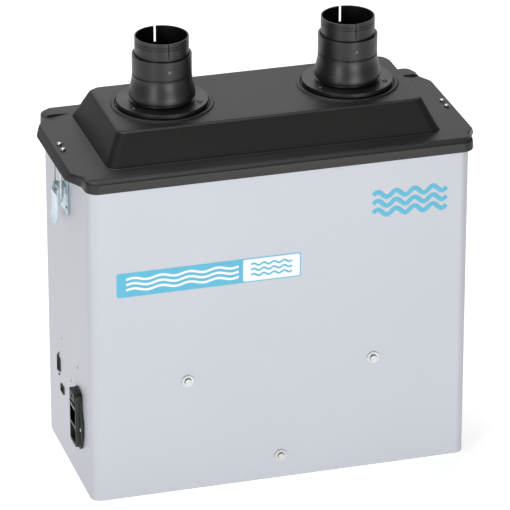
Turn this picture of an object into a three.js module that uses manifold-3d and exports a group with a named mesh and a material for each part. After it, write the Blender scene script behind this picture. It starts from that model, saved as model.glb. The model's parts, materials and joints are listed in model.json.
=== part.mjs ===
// Solder fume extractor: a sheet-metal box with a lift-off plastic cover that carries two hose
// nozzles, a filter cassette under the cover and a radial blower in the lower chamber.
// Millimetres, +Z up. Origin: middle of the footprint, on the surface that the feet stand on.
// +X is towards the exhaust side, -X carries the mains inlet, -Y is the front.
import * as THREE from 'three';
import { mergeVertices } from 'three/addons/utils/BufferGeometryUtils.js';
import Module from 'manifold-3d';

const wasm = await Module();
wasm.setup();

// ---- driving dimensions ---------------------------------------------------------------------
const GAP = 0.3; // clearance between neighbours that rest on each other
const CUT = 2; // how far a cutting solid runs past the face it cuts
const OVERRUN = 9; // the same past a face that slopes or curves
const ARC_STEPS = 4; // chords in one rounded corner
const ROUND_SIDES = 28; // sides of the large turned pieces
const PIN_SIDES = 12; // sides of pins and screws
const WIRE_SIDES = 8; // sides of bent wire

// housing
const HOUSING_WIDTH = 430;
const HOUSING_DEPTH = 200;
const HOUSING_HEIGHT = 371; // base to the cover's lower rim
const HOUSING_CORNER = 11;
const SHEET = 1.5;
const TOP_FOLD = 10;
const BOTTOM_FOLD = 8;
const FOLD_CORNER = 4; // corners of the openings inside the folds
const WALL_RISE = 7; // how far the wall stands up inside the cover's skirt
const FOOT_HEIGHT = 4;
const FOOT_RADIUS = 9;
const FOOT_INSET = 30;
const BASE_LIP = 15;

// cover
const SKIRT_FRONT_OVERHANG = 11;
const SKIRT_END_OVERHANG = 3;
const SKIRT_HEIGHT = 11;
const SKIRT_TAPER = 0.6; // how far the skirt draws in up to its bevel
const SKIRT_WALL = 2.5;
const SKIRT_CORNER = 14;
const BEVEL_WIDTH = 7;
const BEVEL_HEIGHT = 4;
const COVER_WALL = 2.5;
const LUG_REACH = 13; // how far the latch lug stands out past the skirt's end
const LUG_FROM_CORNER = 11; // from the skirt's rounded corner to the lug's shoulder, along Y
const LUG_SHOULDER = 24; // length of the slanted shoulder, along Y
const LUG_DROP = 4; // the lug's top lies this far below the ledge
const LUG_TOP_INSET = 5;
const DOME_HEIGHT = 35;
const DOME_DRAFT = 17; // how far the dome's walls lean in from base to top
const DOME_END_LEDGE = 30;
const DOME_TOP_MARGIN = 10; // the dome's flat top beyond a nozzle seat, along Y
const DOME_CORNER = 12;
const DOME_EDGE = 3;
const GASKET_HEIGHT = 2.2;

// nozzles
const NOZZLE_END_MARGIN = 9; // from a nozzle seat to the end of the dome's flat top
const NOZZLE_BORE = 28;
const SPIGOT_WALL = 3.7;
const SPIGOT_DROP = 8;
const NOZZLE_FLANGE_WIDTH = 18.3;
const NOZZLE_FLANGE_HEIGHT = 4.2;
const NECK_STEP = 1.3; // neck beyond the spigot
const NOZZLE_NECK_HEIGHT = 4;
const BELL_SWELL = 3.3; // bell beyond the neck
const BELL_HEIGHT = 27;
const COLLAR_WALL = 2.7;
const COLLAR_HEIGHT = 22;
const SEAT_MARGIN = 4; // seat bead beyond the nozzle's flange
const SEAT_BEAD = 2;
const NOZZLE_GASKET = 1.5;
const RING_STEP = 1.5; // hose ring's outside beyond the nozzle's bore
const RING_WALL = 1.6;
const RING_SEATING = 24; // length of the ring inside the collar
const RING_REACH = 20; // length of the ring above the collar
const RING_SLIT = 2.5;
const SET_SCREW_RADIUS = 2;
const SET_SCREW_DROP = 11; // below the collar's top

// draw latches
const LATCH_DROP = 35; // lever pivot below the cover's lower rim
const LATCH_PIVOT_OUT = 8; // lever pivot out from the housing's side
const LATCH_BASE_HALF_WIDTH = 17;
const LATCH_BASE_BELOW = 27;
const LATCH_BASE_ABOVE = 20;
const EAR_OUT = 10;
const EAR_RADIUS = 2.8;
const CHEEK_OUT = 12.4;
const LATCH_SHEET = 1.3;
const LEVER_PLATE_OUT = 3; // lever plate out from its pivot
const LEVER_LENGTH = 40;
const LEVER_CURL = 4.5;
const LATCH_PIN_RADIUS = 1.5;
const BAIL_THROW = 7; // bail pivot below the lever pivot
const BAIL_RADIUS = 1.3;
const BAIL_HALF_WIDTH = 14.6;
const BAR_BELOW_RIM = 2.6; // bail bar below the cover's lower rim
const RUNNING_CLEARANCE = 0.14;
const KEEPER_SHEET = 1.5;
const KEEPER_HALF_WIDTH = 12;
const KEEPER_SCREW_OUT = 3.3; // keeper screws out from the housing's side
const KEEPER_SCREW_Y = 8;
const KEEPER_SCREW_RADIUS = 1.5;
const KEEPER_SCREW_HEAD = 3.2;

// filters
const DECK_OVER_SCROLL = 20; // deck above the scroll's cut-off circle
const DECK_OPENING = [150, 90];
const DECK_LIP = 12;
const FILTER_SIDE_GAP = 1.5;
const FILTER_WALL = 3;
const FILTER_INNER_CORNER = 0.6;
const FILTER_SEAL = [10, 4];
const CARBON_SHARE = 10 / 21; // carbon's share of the room for the media
const PLEAT_COUNT = 33;
const PLEAT_HEADROOM = 18.4; // pleats below the frame's rim
const PLEAT_THICKNESS = 3;
const FILTER_GRID_BAR = 4;
const FILTER_GRID_BORDER = 10;
const FILTER_CELLS = [9, 4];
const MAT_THICKNESS = 11;
const MAT_HEADROOM = 5.6; // mat below the housing wall's top

// blower
const DUCT_FLOOR = 39; // duct above the housing's base
const MOUNT_RADIUS = 106; // the three front screws, about the blower axis
const SCROLL_CUTOFF = 10; // scroll beyond the impeller where the spiral starts
const SCROLL_GROWTH = 22; // how much wider the spiral is where it ends
const SCROLL_START_ANGLE = -40;
const SCROLL_STEPS = 26;
const SCROLL_WALL = 2;
const SCROLL_WIDTH = 60;
const DUCT_HEIGHT = 46;
const EYE_RADIUS = 36;
const IMPELLER_RADIUS = 62;
const IMPELLER_GAP = 6; // impeller to the scroll's front wall
const IMPELLER_WIDTH = 42;
const BLADE_COUNT = 9;
const BLADE_THICKNESS = 1.8;
const BLADE_SWEEP = 42; // degrees of sweep from root to tip
const HUB_RADIUS = 11;
const HUB_LENGTH = 22;
const SHAFT_PAST_HUB = 4;
const BLADE_ROOT = 17; // blades start this far beyond the hub
const SHAFT_RADIUS = 4;
const MOTOR_RADIUS = 42;
const MOTOR_LENGTH = 52;
const MOTOR_BORE_DEPTH = 14;
const STANDOFF_RADIUS = 5;
const STANDOFF_LENGTH = 14.4;
const BRACKET_ARM = 26;
const FRONT_SCREW_RADIUS = 2.5;
const FRONT_SCREW_HEAD = 3.6;
const FRONT_SCREW_HEAD_HEIGHT = 2;
const WASHER_RADIUS = 7;
const WASHER_THICKNESS = 1;
const GRILLE_THICKNESS = 1.5;
const GRILLE_SLOT = 5;
const GRILLE_BAR = 3;
const GRILLE_BORDER = 5;

// mains inlet on the -X wall
const INLET_FROM_FRONT = 53;
const INLET_HEIGHT = 80; // centre above the housing's base
const BEZEL_MARGIN = [2, 3]; // bezel beyond the inlet's body, along Y and Z
const BEZEL_THICKNESS = 3.2;
const BEZEL_CHAMFER = 9;
const EAR_SPAN = 42;
const EAR_BELOW = 8; // ears sit this far below the inlet's middle
const EAR_LENGTH = 24;
const INLET_FACE = 8; // raised face out from the wall
const INLET_BODY_WIDTH = 27;
const INLET_BODY_LENGTH = 64;
const INLET_BODY_DEPTH = 25; // behind the wall
const CUTOUT_CLEARANCE = 0.6;
const SOCKET_SIZE = [23, 18];
const SOCKET_DEPTH = 17;
const SOCKET_BELOW = 19.5;
const PIN_SIZE = [4, 2, 11.5];
const PIN_PITCH = 7;
const PIN_OFFSET = 4;
const ROCKER_WINDOW = [21, 26];
const ROCKER_ABOVE = 7;
const ROCKER_TILT = 7;
const ROCKER_DEPTH = 15;
const ROCKER_PIVOT_DEPTH = 6.5;
const ROCKER_REACH = 6.6; // cap's face out from the pivot
const ROCKER_END_GAP = 1.5;
const ROCKER_DISH = 1.6;
const ROCKER_STEM = 6;
const FUSE_SIZE = [21, 10, 20];
const FUSE_ABOVE = 26.5;
const FUSE_CLEARANCE = 0.4;
const FUSE_PROUD = 0.8;

// signal connectors on the -X wall
const DSUB_FROM_BACK = 56;
const DSUB_HEIGHT = 102;
const DSUB_SIZE = [11, 19.5];
const DSUB_TAPER = 3;
const JACK_FROM_DSUB = 15;
const JACK_HEIGHT = 77.5;
const JACK_SIZE = [13, 8];
const CONNECTOR_WALL = 0.9;
const CONNECTOR_DEPTH = 11;
const CONNECTOR_RECESS = 8;
const CONNECTOR_PROUD = 0.2;
const BOARD_THICKNESS = 1.6;
const BOARD_TALL = 88;
const BOARD_FROM_INLET = 13.5;
const BOARD_PAST_DSUB = 18;
const BOARD_HEIGHT = 106;
const BOARD_PARTS = [ // share of the half width and half height, height off the board, size
  [-0.35, 0.5, 9, 16],
  [0.15, 0.55, 7, 7],
  [0.6, 0.2, 5, 10],
  [-0.1, -0.3, 12, 9],
  [0.5, -0.55, 6, 6],
];
const SUPPLY_SIZE = [70, 96, 40];
const SUPPLY_FROM_WALL = 45;
const SUPPLY_FROM_BACK = 10.5;
const SUPPLY_VENTS = 7;

// ---- levels and faces worked out from the dimensions ----------------------------------------
const BASE_Z = FOOT_HEIGHT;
const RIM_Z = BASE_Z + HOUSING_HEIGHT;
const WALL_TOP_Z = RIM_Z + WALL_RISE;
const LEDGE_Z = RIM_Z + SKIRT_HEIGHT + BEVEL_HEIGHT;
const DOME_Z = LEDGE_Z + DOME_HEIGHT;
const SIDE_X = HOUSING_WIDTH / 2;
const FRONT_Y = HOUSING_DEPTH / 2;
const SKIRT_X = SIDE_X + SKIRT_END_OVERHANG;
const SKIRT_Y = FRONT_Y + SKIRT_FRONT_OVERHANG;
const LUG_X = SKIRT_X + LUG_REACH;
const LUG_HALF_WIDTH = SKIRT_Y - SKIRT_CORNER - LUG_FROM_CORNER - LUG_SHOULDER;
const SPIGOT_RADIUS = NOZZLE_BORE + SPIGOT_WALL;
const NECK_RADIUS = SPIGOT_RADIUS + NECK_STEP;
const BELL_RADIUS = NECK_RADIUS + BELL_SWELL;
const FLANGE_RADIUS = SPIGOT_RADIUS + NOZZLE_FLANGE_WIDTH;
const SEAT_RADIUS = FLANGE_RADIUS + SEAT_MARGIN;
const RING_RADIUS = NOZZLE_BORE + RING_STEP;
const COLLAR_RADIUS = RING_RADIUS + GAP + COLLAR_WALL;
const DOME_X = SKIRT_X - DOME_END_LEDGE;
const DOME_Y = SEAT_RADIUS + DOME_TOP_MARGIN + DOME_EDGE + DOME_DRAFT;
const NOZZLE_X = DOME_X - DOME_DRAFT - DOME_EDGE - NOZZLE_END_MARGIN - SEAT_RADIUS;
const SCROLL_START = IMPELLER_RADIUS + SCROLL_CUTOFF;
const SCROLL_END = SCROLL_START + SCROLL_GROWTH;
const DUCT_Z = BASE_Z + DUCT_FLOOR;
const BLOWER_Z = DUCT_Z + SCROLL_END;
const BRACKET_BACK_Y = -FRONT_Y + SHEET + GAP + SHEET;
const MOTOR_FRONT_Y = BRACKET_BACK_Y + STANDOFF_LENGTH;
const MOTOR_BACK_Y = MOTOR_FRONT_Y + MOTOR_LENGTH;
const SCROLL_FRONT_Y = MOTOR_BACK_Y + GAP;
const SCROLL_BACK_Y = SCROLL_FRONT_Y + SCROLL_WIDTH;
const DECK_Z = BLOWER_Z + SCROLL_START + DECK_OVER_SCROLL;
const PIVOT_X = SIDE_X + LATCH_PIVOT_OUT;
const PIVOT_Z = RIM_Z - LATCH_DROP;
const INLET_Y = -FRONT_Y + INLET_FROM_FRONT;
const DSUB_Y = FRONT_Y - DSUB_FROM_BACK;
const JACK_Y = DSUB_Y - JACK_FROM_DSUB;

// ---- materials ------------------------------------------------------------------------------
const finish = (color, roughness, metalness) =>
  new THREE.MeshStandardMaterial({ color, roughness, metalness });
const greyPaint = finish(0xd3d7de, 0.45, 0.1);
const blackPlastic = finish(0x2b2b2a, 0.55, 0);
const greyPlastic = finish(0x5d6064, 0.4, 0);
const blackRubber = finish(0x1c1c1c, 0.85, 0);
const zincSteel = finish(0xc2cdd2, 0.3, 0.9);
const brightSteel = finish(0xd8dbdd, 0.25, 1);
const aluminium = finish(0xb9bcbf, 0.4, 0.9);
const galvanised = finish(0xa9aeb2, 0.45, 0.8);
const filterFleece = finish(0xe6e6e0, 0.95, 0);
const carbonBlack = finish(0x202122, 0.95, 0);
const boardGreen = finish(0x1f5c3a, 0.5, 0);
const brass = finish(0xc9a95a, 0.3, 1);

// ---- solids ---------------------------------------------------------------------------------
function signedVolume(points, triangles) {
  const [a, b, c] = [new THREE.Vector3(), new THREE.Vector3(), new THREE.Vector3()];
  let total = 0;
  for (let i = 0; i < triangles.length; i += 3) {
    a.fromArray(points, triangles[i] * 3);
    b.fromArray(points, triangles[i + 1] * 3);
    c.fromArray(points, triangles[i + 2] * 3);
    total += a.dot(b.cross(c)) / 6;
  }
  return total;
}

// A closed geometry as a solid that can be joined and cut, with its faces pointing out.
function toSolid(geometry) {
  geometry.deleteAttribute('normal');
  geometry.deleteAttribute('uv');
  const merged = mergeVertices(geometry, 1e-4);
  const points = merged.getAttribute('position').array;
  const triangles = [];
  for (let i = 0; i < merged.index.count; i += 3) {
    const [a, b, c] = [merged.index.getX(i), merged.index.getX(i + 1), merged.index.getX(i + 2)];
    if (a !== b && b !== c && c !== a) triangles.push(a, b, c);
  }
  if (signedVolume(points, triangles) < 0) triangles.reverse();
  const mesh = new wasm.Mesh({
    numProp: 3,
    vertProperties: new Float32Array(points),
    triVerts: Uint32Array.from(triangles),
  });
  return new wasm.Manifold(mesh);
}

const join = (first, ...others) => others.reduce((all, solid) => all.add(solid), first);
const cut = (first, ...others) => others.reduce((all, solid) => all.subtract(solid), first);
const shifted = (geometry, x, y, z) => geometry.translate(x, y, z);

function block(x0, x1, y0, y1, z0, z1) {
  const box = new THREE.BoxGeometry(x1 - x0, y1 - y0, z1 - z0);
  return toSolid(shifted(box, (x0 + x1) / 2, (y0 + y1) / 2, (z0 + z1) / 2));
}

function extrusion(outline, depth) {
  return new THREE.ExtrudeGeometry(new THREE.Shape(outline), { depth, bevelEnabled: false });
}

// Outline in X and Y, thickness along Z.
function plate(outline, z0, z1) {
  return toSolid(shifted(extrusion(outline, z1 - z0), 0, 0, z0));
}

// Outline in X and Z, thickness along Y.
function sheetAlongY(outline, y0, y1) {
  return toSolid(shifted(extrusion(outline, y1 - y0).rotateX(Math.PI / 2), 0, y1, 0));
}

// Outline in Y and Z, thickness along X.
function sheetAlongX(outline, x0, x1) {
  const turned = extrusion(outline, x1 - x0).rotateX(Math.PI / 2).rotateZ(Math.PI / 2);
  return toSolid(shifted(turned, x0, 0, 0));
}

// A round bar from one point to another.
function rod(from, to, radius, sides = PIN_SIDES) {
  const along = new THREE.Vector3().subVectors(to, from);
  const bar = new THREE.CylinderGeometry(radius, radius, along.length(), sides);
  const turn = new THREE.Quaternion().setFromUnitVectors(
    new THREE.Vector3(0, 1, 0),
    along.clone().normalize(),
  );
  bar.applyQuaternion(turn);
  const middle = new THREE.Vector3().addVectors(from, to).multiplyScalar(0.5);
  return toSolid(shifted(bar, middle.x, middle.y, middle.z));
}

function rodAlongY(x, z, y0, y1, radius, sides = PIN_SIDES) {
  return rod(new THREE.Vector3(x, y0, z), new THREE.Vector3(x, y1, z), radius, sides);
}

function rodAlongZ(x, y, z0, z1, radius, sides = PIN_SIDES) {
  return rod(new THREE.Vector3(x, y, z0), new THREE.Vector3(x, y, z1), radius, sides);
}

function ball(centre, radius) {
  const sphere = new THREE.SphereGeometry(radius, WIRE_SIDES, WIRE_SIDES / 2);
  return toSolid(shifted(sphere, centre.x, centre.y, centre.z));
}

// A profile of [radius, height] points turned about a vertical axis at (x, y).
function turned(profile, x, y, sides = ROUND_SIDES) {
  const points = profile.map(([radius, height]) => new THREE.Vector2(radius, height));
  const lathe = new THREE.LatheGeometry(points, sides).rotateX(Math.PI / 2);
  return toSolid(shifted(lathe, x, y, 0));
}

// Corners are [x, y, radius]; the result runs round them with an arc at each corner.
function rounded(corners) {
  const points = [];
  corners.forEach(([x, y, radius], i) => {
    const here = new THREE.Vector2(x, y);
    const before = corners[(i + corners.length - 1) % corners.length];
    const after = corners[(i + 1) % corners.length];
    const back = new THREE.Vector2(before[0] - x, before[1] - y).normalize();
    const on = new THREE.Vector2(after[0] - x, after[1] - y).normalize();
    const half = Math.acos(THREE.MathUtils.clamp(back.dot(on), -1, 1)) / 2;
    const centre = here.clone().addScaledVector(back.clone().add(on).normalize(), radius / Math.sin(half));
    const start = here.clone().addScaledVector(back, radius / Math.tan(half)).sub(centre);
    const end = here.clone().addScaledVector(on, radius / Math.tan(half)).sub(centre);
    const sweep = Math.atan2(start.cross(end), start.dot(end));
    for (let step = 0; step <= ARC_STEPS; step += 1) {
      const turn = start.clone().rotateAround(new THREE.Vector2(), (sweep * step) / ARC_STEPS);
      points.push(turn.add(centre));
    }
  });
  return points;
}

function rectangle(halfX, halfY, radius) {
  return rounded([
    [halfX, halfY, radius],
    [-halfX, halfY, radius],
    [-halfX, -halfY, radius],
    [halfX, -halfY, radius],
  ]);
}

const moved = (outline, x, y) => outline.map((point) => new THREE.Vector2(point.x + x, point.y + y));

// A solid through outlines with equally many points, each at its own height.
function loft(sections) {
  const count = sections[0].outline.length;
  const points = sections.flatMap(({ outline, z }) => outline.flatMap((p) => [p.x, p.y, z]));
  const triangles = [];
  for (let level = 0; level < sections.length - 1; level += 1) {
    for (let i = 0; i < count; i += 1) {
      const [a, b] = [level * count + i, level * count + ((i + 1) % count)];
      triangles.push(a, b, b + count, a, b + count, a + count);
    }
  }
  const top = (sections.length - 1) * count;
  THREE.ShapeUtils.triangulateShape(sections[0].outline, []).forEach(([a, b, c]) => triangles.push(c, b, a));
  THREE.ShapeUtils.triangulateShape(sections.at(-1).outline, [])
    .forEach(([a, b, c]) => triangles.push(top + a, top + b, top + c));
  const geometry = new THREE.BufferGeometry();
  geometry.setAttribute('position', new THREE.Float32BufferAttribute(points, 3));
  geometry.setIndex(triangles);
  return toSolid(geometry);
}

const model = new THREE.Group();

function addPiece(name, solid, material) {
  const { vertProperties, triVerts } = solid.getMesh();
  const geometry = new THREE.BufferGeometry();
  geometry.setAttribute('position', new THREE.BufferAttribute(vertProperties, 3));
  geometry.setIndex(new THREE.BufferAttribute(triVerts, 1));
  geometry.computeVertexNormals();
  const mesh = new THREE.Mesh(geometry, material);
  mesh.name = name;
  model.add(mesh);
}

// ---- places of the openings that more than one piece shares ---------------------------------
const frontScrewPlaces = [180, 0, 270].map((degrees) => {
  const angle = THREE.MathUtils.degToRad(degrees);
  return [MOUNT_RADIUS * Math.cos(angle), BLOWER_Z + MOUNT_RADIUS * Math.sin(angle)];
});
const inletZ = BASE_Z + INLET_HEIGHT;
const dsubZ = BASE_Z + DSUB_HEIGHT;
const jackZ = BASE_Z + JACK_HEIGHT;

function dsubOutline(grow) {
  const [halfY, halfZ] = [DSUB_SIZE[0] / 2 + grow, DSUB_SIZE[1] / 2 + grow];
  return rounded([
    [halfY, halfZ, 1],
    [-halfY, halfZ - DSUB_TAPER, 1],
    [-halfY, -halfZ + DSUB_TAPER, 1],
    [halfY, -halfZ, 1],
  ]);
}

const jackOutline = (grow) => rectangle(JACK_SIZE[0] / 2 + grow, JACK_SIZE[1] / 2 + grow, 0.8);

// ---- housing --------------------------------------------------------------------------------
function housingShell() {
  const inner = (inset, corner) => rectangle(SIDE_X - inset, FRONT_Y - inset, corner);
  const walls = cut(
    plate(rectangle(SIDE_X, FRONT_Y, HOUSING_CORNER), BASE_Z, WALL_TOP_Z),
    plate(inner(SHEET, HOUSING_CORNER - SHEET), BASE_Z + SHEET, WALL_TOP_Z - SHEET),
    plate(inner(SHEET + TOP_FOLD, FOLD_CORNER), WALL_TOP_Z - SHEET - CUT, WALL_TOP_Z + CUT),
    plate(inner(SHEET + BOTTOM_FOLD, FOLD_CORNER), BASE_Z - CUT, BASE_Z + SHEET + CUT),
  );
  const screwHoles = frontScrewPlaces.map(([x, z]) =>
    rodAlongY(x, z, -FRONT_Y - CUT, -FRONT_Y + SHEET + CUT, FRONT_SCREW_RADIUS + GAP));
  const throughLeft = (outline, y, z) =>
    sheetAlongX(moved(outline, y, z), -SIDE_X - CUT, -SIDE_X + SHEET + CUT);
  const inletHole = rectangle(
    INLET_BODY_WIDTH / 2 + CUTOUT_CLEARANCE,
    INLET_BODY_LENGTH / 2 + CUTOUT_CLEARANCE,
    2,
  );
  const exhaust = block(
    SIDE_X - SHEET - CUT,
    SIDE_X + CUT,
    SCROLL_FRONT_Y + GRILLE_BORDER,
    SCROLL_BACK_Y - GRILLE_BORDER,
    DUCT_Z + GRILLE_BORDER,
    DUCT_Z + DUCT_HEIGHT - GRILLE_BORDER,
  );
  return cut(
    walls,
    ...screwHoles,
    exhaust,
    throughLeft(inletHole, INLET_Y, inletZ),
    throughLeft(dsubOutline(GAP), DSUB_Y, dsubZ),
    throughLeft(jackOutline(GAP), JACK_Y, jackZ),
  );
}

function basePlate() {
  const bottom = BASE_Z + SHEET + GAP;
  const [halfX, halfY] = [SIDE_X - SHEET - GAP, FRONT_Y - SHEET - GAP];
  const lipX = halfX - HOUSING_CORNER;
  const lip = (y) => block(-lipX, lipX, y, y + SHEET, bottom, bottom + BASE_LIP);
  return join(
    plate(rectangle(halfX, halfY, HOUSING_CORNER - SHEET), bottom, bottom + SHEET),
    lip(-halfY),
    lip(halfY - SHEET),
  );
}

function rubberFoot(x, y) {
  const top = BASE_Z + SHEET;
  const profile = [[0, 0], [FOOT_RADIUS - 1, 0], [FOOT_RADIUS, 1], [FOOT_RADIUS, top], [0, top]];
  return turned(profile, x, y, 20);
}

function filterDeck() {
  const z = DECK_Z;
    const [halfX, halfY] = [SIDE_X - SHEET - GAP, FRONT_Y - SHEET - GAP];
  const lipX = halfX - HOUSING_CORNER;
  const lip = (y) => block(-lipX, lipX, y, y + SHEET, z - DECK_LIP, z + SHEET);
  const sheet = join(
    plate(rectangle(halfX, halfY, HOUSING_CORNER - SHEET), z, z + SHEET),
    lip(-halfY),
    lip(halfY - SHEET),
  );
  return cut(sheet, plate(rectangle(DECK_OPENING[0] / 2, DECK_OPENING[1] / 2, 8), z - CUT, z + SHEET + CUT));
}

// ---- filters --------------------------------------------------------------------------------
const filterHalfX = SIDE_X - SHEET - TOP_FOLD - FILTER_SIDE_GAP;
const filterHalfY = FRONT_Y - SHEET - TOP_FOLD - FILTER_SIDE_GAP;
const sealBottomZ = DECK_Z + SHEET + GAP;
const filterBottomZ = sealBottomZ + FILTER_SEAL[1] + GAP;
const filterTopZ = WALL_TOP_Z - MAT_HEADROOM - MAT_THICKNESS - GAP;
const carbonBottomZ = filterBottomZ + FILTER_WALL + GAP;
const mediaRoom = filterTopZ - PLEAT_HEADROOM - PLEAT_THICKNESS - GAP - carbonBottomZ;
const carbonTopZ = carbonBottomZ + mediaRoom * CARBON_SHARE;
const pleatBottomZ = carbonTopZ + GAP;
const pleatHeight = mediaRoom * (1 - CARBON_SHARE);

function filterSeal() {
  const inset = FILTER_SEAL[0];
  return cut(
    plate(rectangle(filterHalfX, filterHalfY, 4), sealBottomZ, sealBottomZ + FILTER_SEAL[1]),
    plate(rectangle(filterHalfX - inset, filterHalfY - inset, 2), sealBottomZ - CUT, filterBottomZ + CUT),
  );
}

// Four walls with a barred floor that the media rests on.
function filterFrame() {
  const [innerX, innerY] = [filterHalfX - FILTER_WALL, filterHalfY - FILTER_WALL];
  const floorTop = filterBottomZ + FILTER_WALL;
  const walls = cut(
    plate(rectangle(filterHalfX, filterHalfY, 4), filterBottomZ, filterTopZ),
    plate(rectangle(innerX, innerY, FILTER_INNER_CORNER), floorTop, filterTopZ + CUT),
  );
  const grid = [innerX - FILTER_GRID_BORDER, innerY - FILTER_GRID_BORDER];
  const size = grid.map((half, axis) => (2 * half) / FILTER_CELLS[axis]);
  const [halfX, halfY] = size.map((cell) => (cell - FILTER_GRID_BAR) / 2);
  const windows = [];
  for (let i = 0; i < FILTER_CELLS[0]; i += 1) {
    for (let j = 0; j < FILTER_CELLS[1]; j += 1) {
      const [x, y] = [-grid[0] + (i + 0.5) * size[0], -grid[1] + (j + 0.5) * size[1]];
      windows.push(block(x - halfX, x + halfX, y - halfY, y + halfY, filterBottomZ - CUT, floorTop + CUT));
    }
  }
  return cut(walls, ...windows);
}

function carbonBed() {
  const [halfX, halfY] = [filterHalfX - FILTER_WALL - GAP, filterHalfY - FILTER_WALL - GAP];
  return plate(rectangle(halfX, halfY, 2), carbonBottomZ, carbonTopZ);
}

// One sheet folded into a zigzag along X.
function pleatedFilter() {
  const halfX = filterHalfX - FILTER_WALL - GAP;
  const halfY = filterHalfY - FILTER_WALL - GAP;
  const folds = 2 * PLEAT_COUNT;
  const low = [];
  for (let i = 0; i <= folds; i += 1) {
    low.push([-halfX + (2 * halfX * i) / folds, pleatBottomZ + (i % 2 ? pleatHeight : 0)]);
  }
  const high = low.map(([x, z]) => [x, z + PLEAT_THICKNESS]).reverse();
  const outline = [...low, ...high].map(([x, z]) => new THREE.Vector2(x, z));
  return sheetAlongY(outline, -halfY, halfY);
}

function prefilterMat() {
  const bottom = filterTopZ + GAP;
  return plate(rectangle(filterHalfX, filterHalfY, 5), bottom, bottom + MAT_THICKNESS);
}

// ---- cover ----------------------------------------------------------------------------------
// Plan of the cover's flange, drawn in by `inset` all round.
function flangeOutline(inset) {
  const [endX, lugX, frontY] = [SKIRT_X - inset, LUG_X - inset, SKIRT_Y - inset];
  const slant = Math.hypot(LUG_REACH, LUG_SHOULDER);
  const slide = (inset * (slant - LUG_REACH)) / LUG_SHOULDER;
  const [wide, far] = [LUG_HALF_WIDTH - slide, LUG_HALF_WIDTH + LUG_SHOULDER - slide];
  const quarter = [[lugX, wide, 10], [endX, far, 7], [endX, frontY, SKIRT_CORNER - inset]];
  const flipX = quarter.map(([x, y, r]) => [-x, y, r]).reverse();
  const half = [...quarter, ...flipX];
  return rounded([...half, ...half.map(([x, y, r]) => [-x, -y, r])]);
}

const endSlope = (x) => LEDGE_Z - (LUG_DROP * (Math.abs(x) - DOME_X)) / (LUG_X - LUG_TOP_INSET - DOME_X);

// What is cut away above the sloping end ledges and outside the lug's leaning face.
function aboveEndLedge(side) {
  const topX = LUG_X - LUG_TOP_INSET;
  const outline = [
    [DOME_X, LEDGE_Z],
    [topX, LEDGE_Z - LUG_DROP],
    [LUG_X + GAP, RIM_Z + 1],
    [LUG_X + OVERRUN, RIM_Z + 1],
    [LUG_X + OVERRUN, LEDGE_Z + OVERRUN],
    [DOME_X, LEDGE_Z + OVERRUN],
  ].map(([x, z]) => new THREE.Vector2(side * x, z));
  const halfY = LUG_HALF_WIDTH + LUG_SHOULDER - 2;
  return sheetAlongY(outline, -halfY, halfY);
}

// The dome drawn in by its wall, which gives its inside.
function dome(wall) {
  const section = (height, edge) => {
    const inset = wall + edge + (DOME_DRAFT * height) / DOME_HEIGHT;
    return {
      outline: rectangle(DOME_X - inset, DOME_Y - inset, DOME_CORNER - wall - edge),
      z: LEDGE_Z + height - wall,
    };
  };
  const bottom = section(0, 0);
  bottom.z -= 1;
  return loft([bottom, section(DOME_HEIGHT - DOME_EDGE, 0), section(DOME_HEIGHT, DOME_EDGE)]);
}

// Space under the flange: follows the bevel, the sloping ends and the lugs' leaning faces, so the
// wall keeps its thickness.
function underFlange() {
  const topX = LUG_X - LUG_TOP_INSET;
  const run = LUG_X + GAP - topX;
  const rise = LEDGE_Z - LUG_DROP - RIM_Z - 1;
  const slant = Math.hypot(run, rise);
  const cornerX = topX + (COVER_WALL * (run - slant)) / rise;
  const footX = topX + (run * (rise + 1 + CUT) - COVER_WALL * slant) / rise;
  const low = endSlope(cornerX) - COVER_WALL;
  const roof = [
    [-footX, RIM_Z - CUT],
    [footX, RIM_Z - CUT],
    [cornerX, low],
    [DOME_X, LEDGE_Z - COVER_WALL],
    [-DOME_X, LEDGE_Z - COVER_WALL],
    [-cornerX, low],
  ].map(([x, z]) => new THREE.Vector2(x, z));
  const inside = loft([
    { outline: flangeOutline(SKIRT_WALL), z: RIM_Z - CUT },
    { outline: flangeOutline(SKIRT_TAPER + SKIRT_WALL), z: RIM_Z + SKIRT_HEIGHT - 1 },
    { outline: flangeOutline(BEVEL_WIDTH + SKIRT_WALL), z: LEDGE_Z },
  ]);
  return inside.intersect(sheetAlongY(roof, -SKIRT_Y, SKIRT_Y));
}

function seatBead(x) {
  const profile = [
    [SEAT_RADIUS - SEAT_BEAD, DOME_Z - 1],
    [SEAT_RADIUS + SEAT_BEAD, DOME_Z - 1],
    [SEAT_RADIUS + SEAT_BEAD, DOME_Z + SEAT_BEAD / 2],
    [SEAT_RADIUS + SEAT_BEAD / 2, DOME_Z + SEAT_BEAD],
    [SEAT_RADIUS - SEAT_BEAD / 2, DOME_Z + SEAT_BEAD],
    [SEAT_RADIUS - SEAT_BEAD, DOME_Z + SEAT_BEAD / 2],
    [SEAT_RADIUS - SEAT_BEAD, DOME_Z - 1],
  ];
  return turned(profile, x, 0);
}

const keeperScrewX = SIDE_X + KEEPER_SCREW_OUT;

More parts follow.
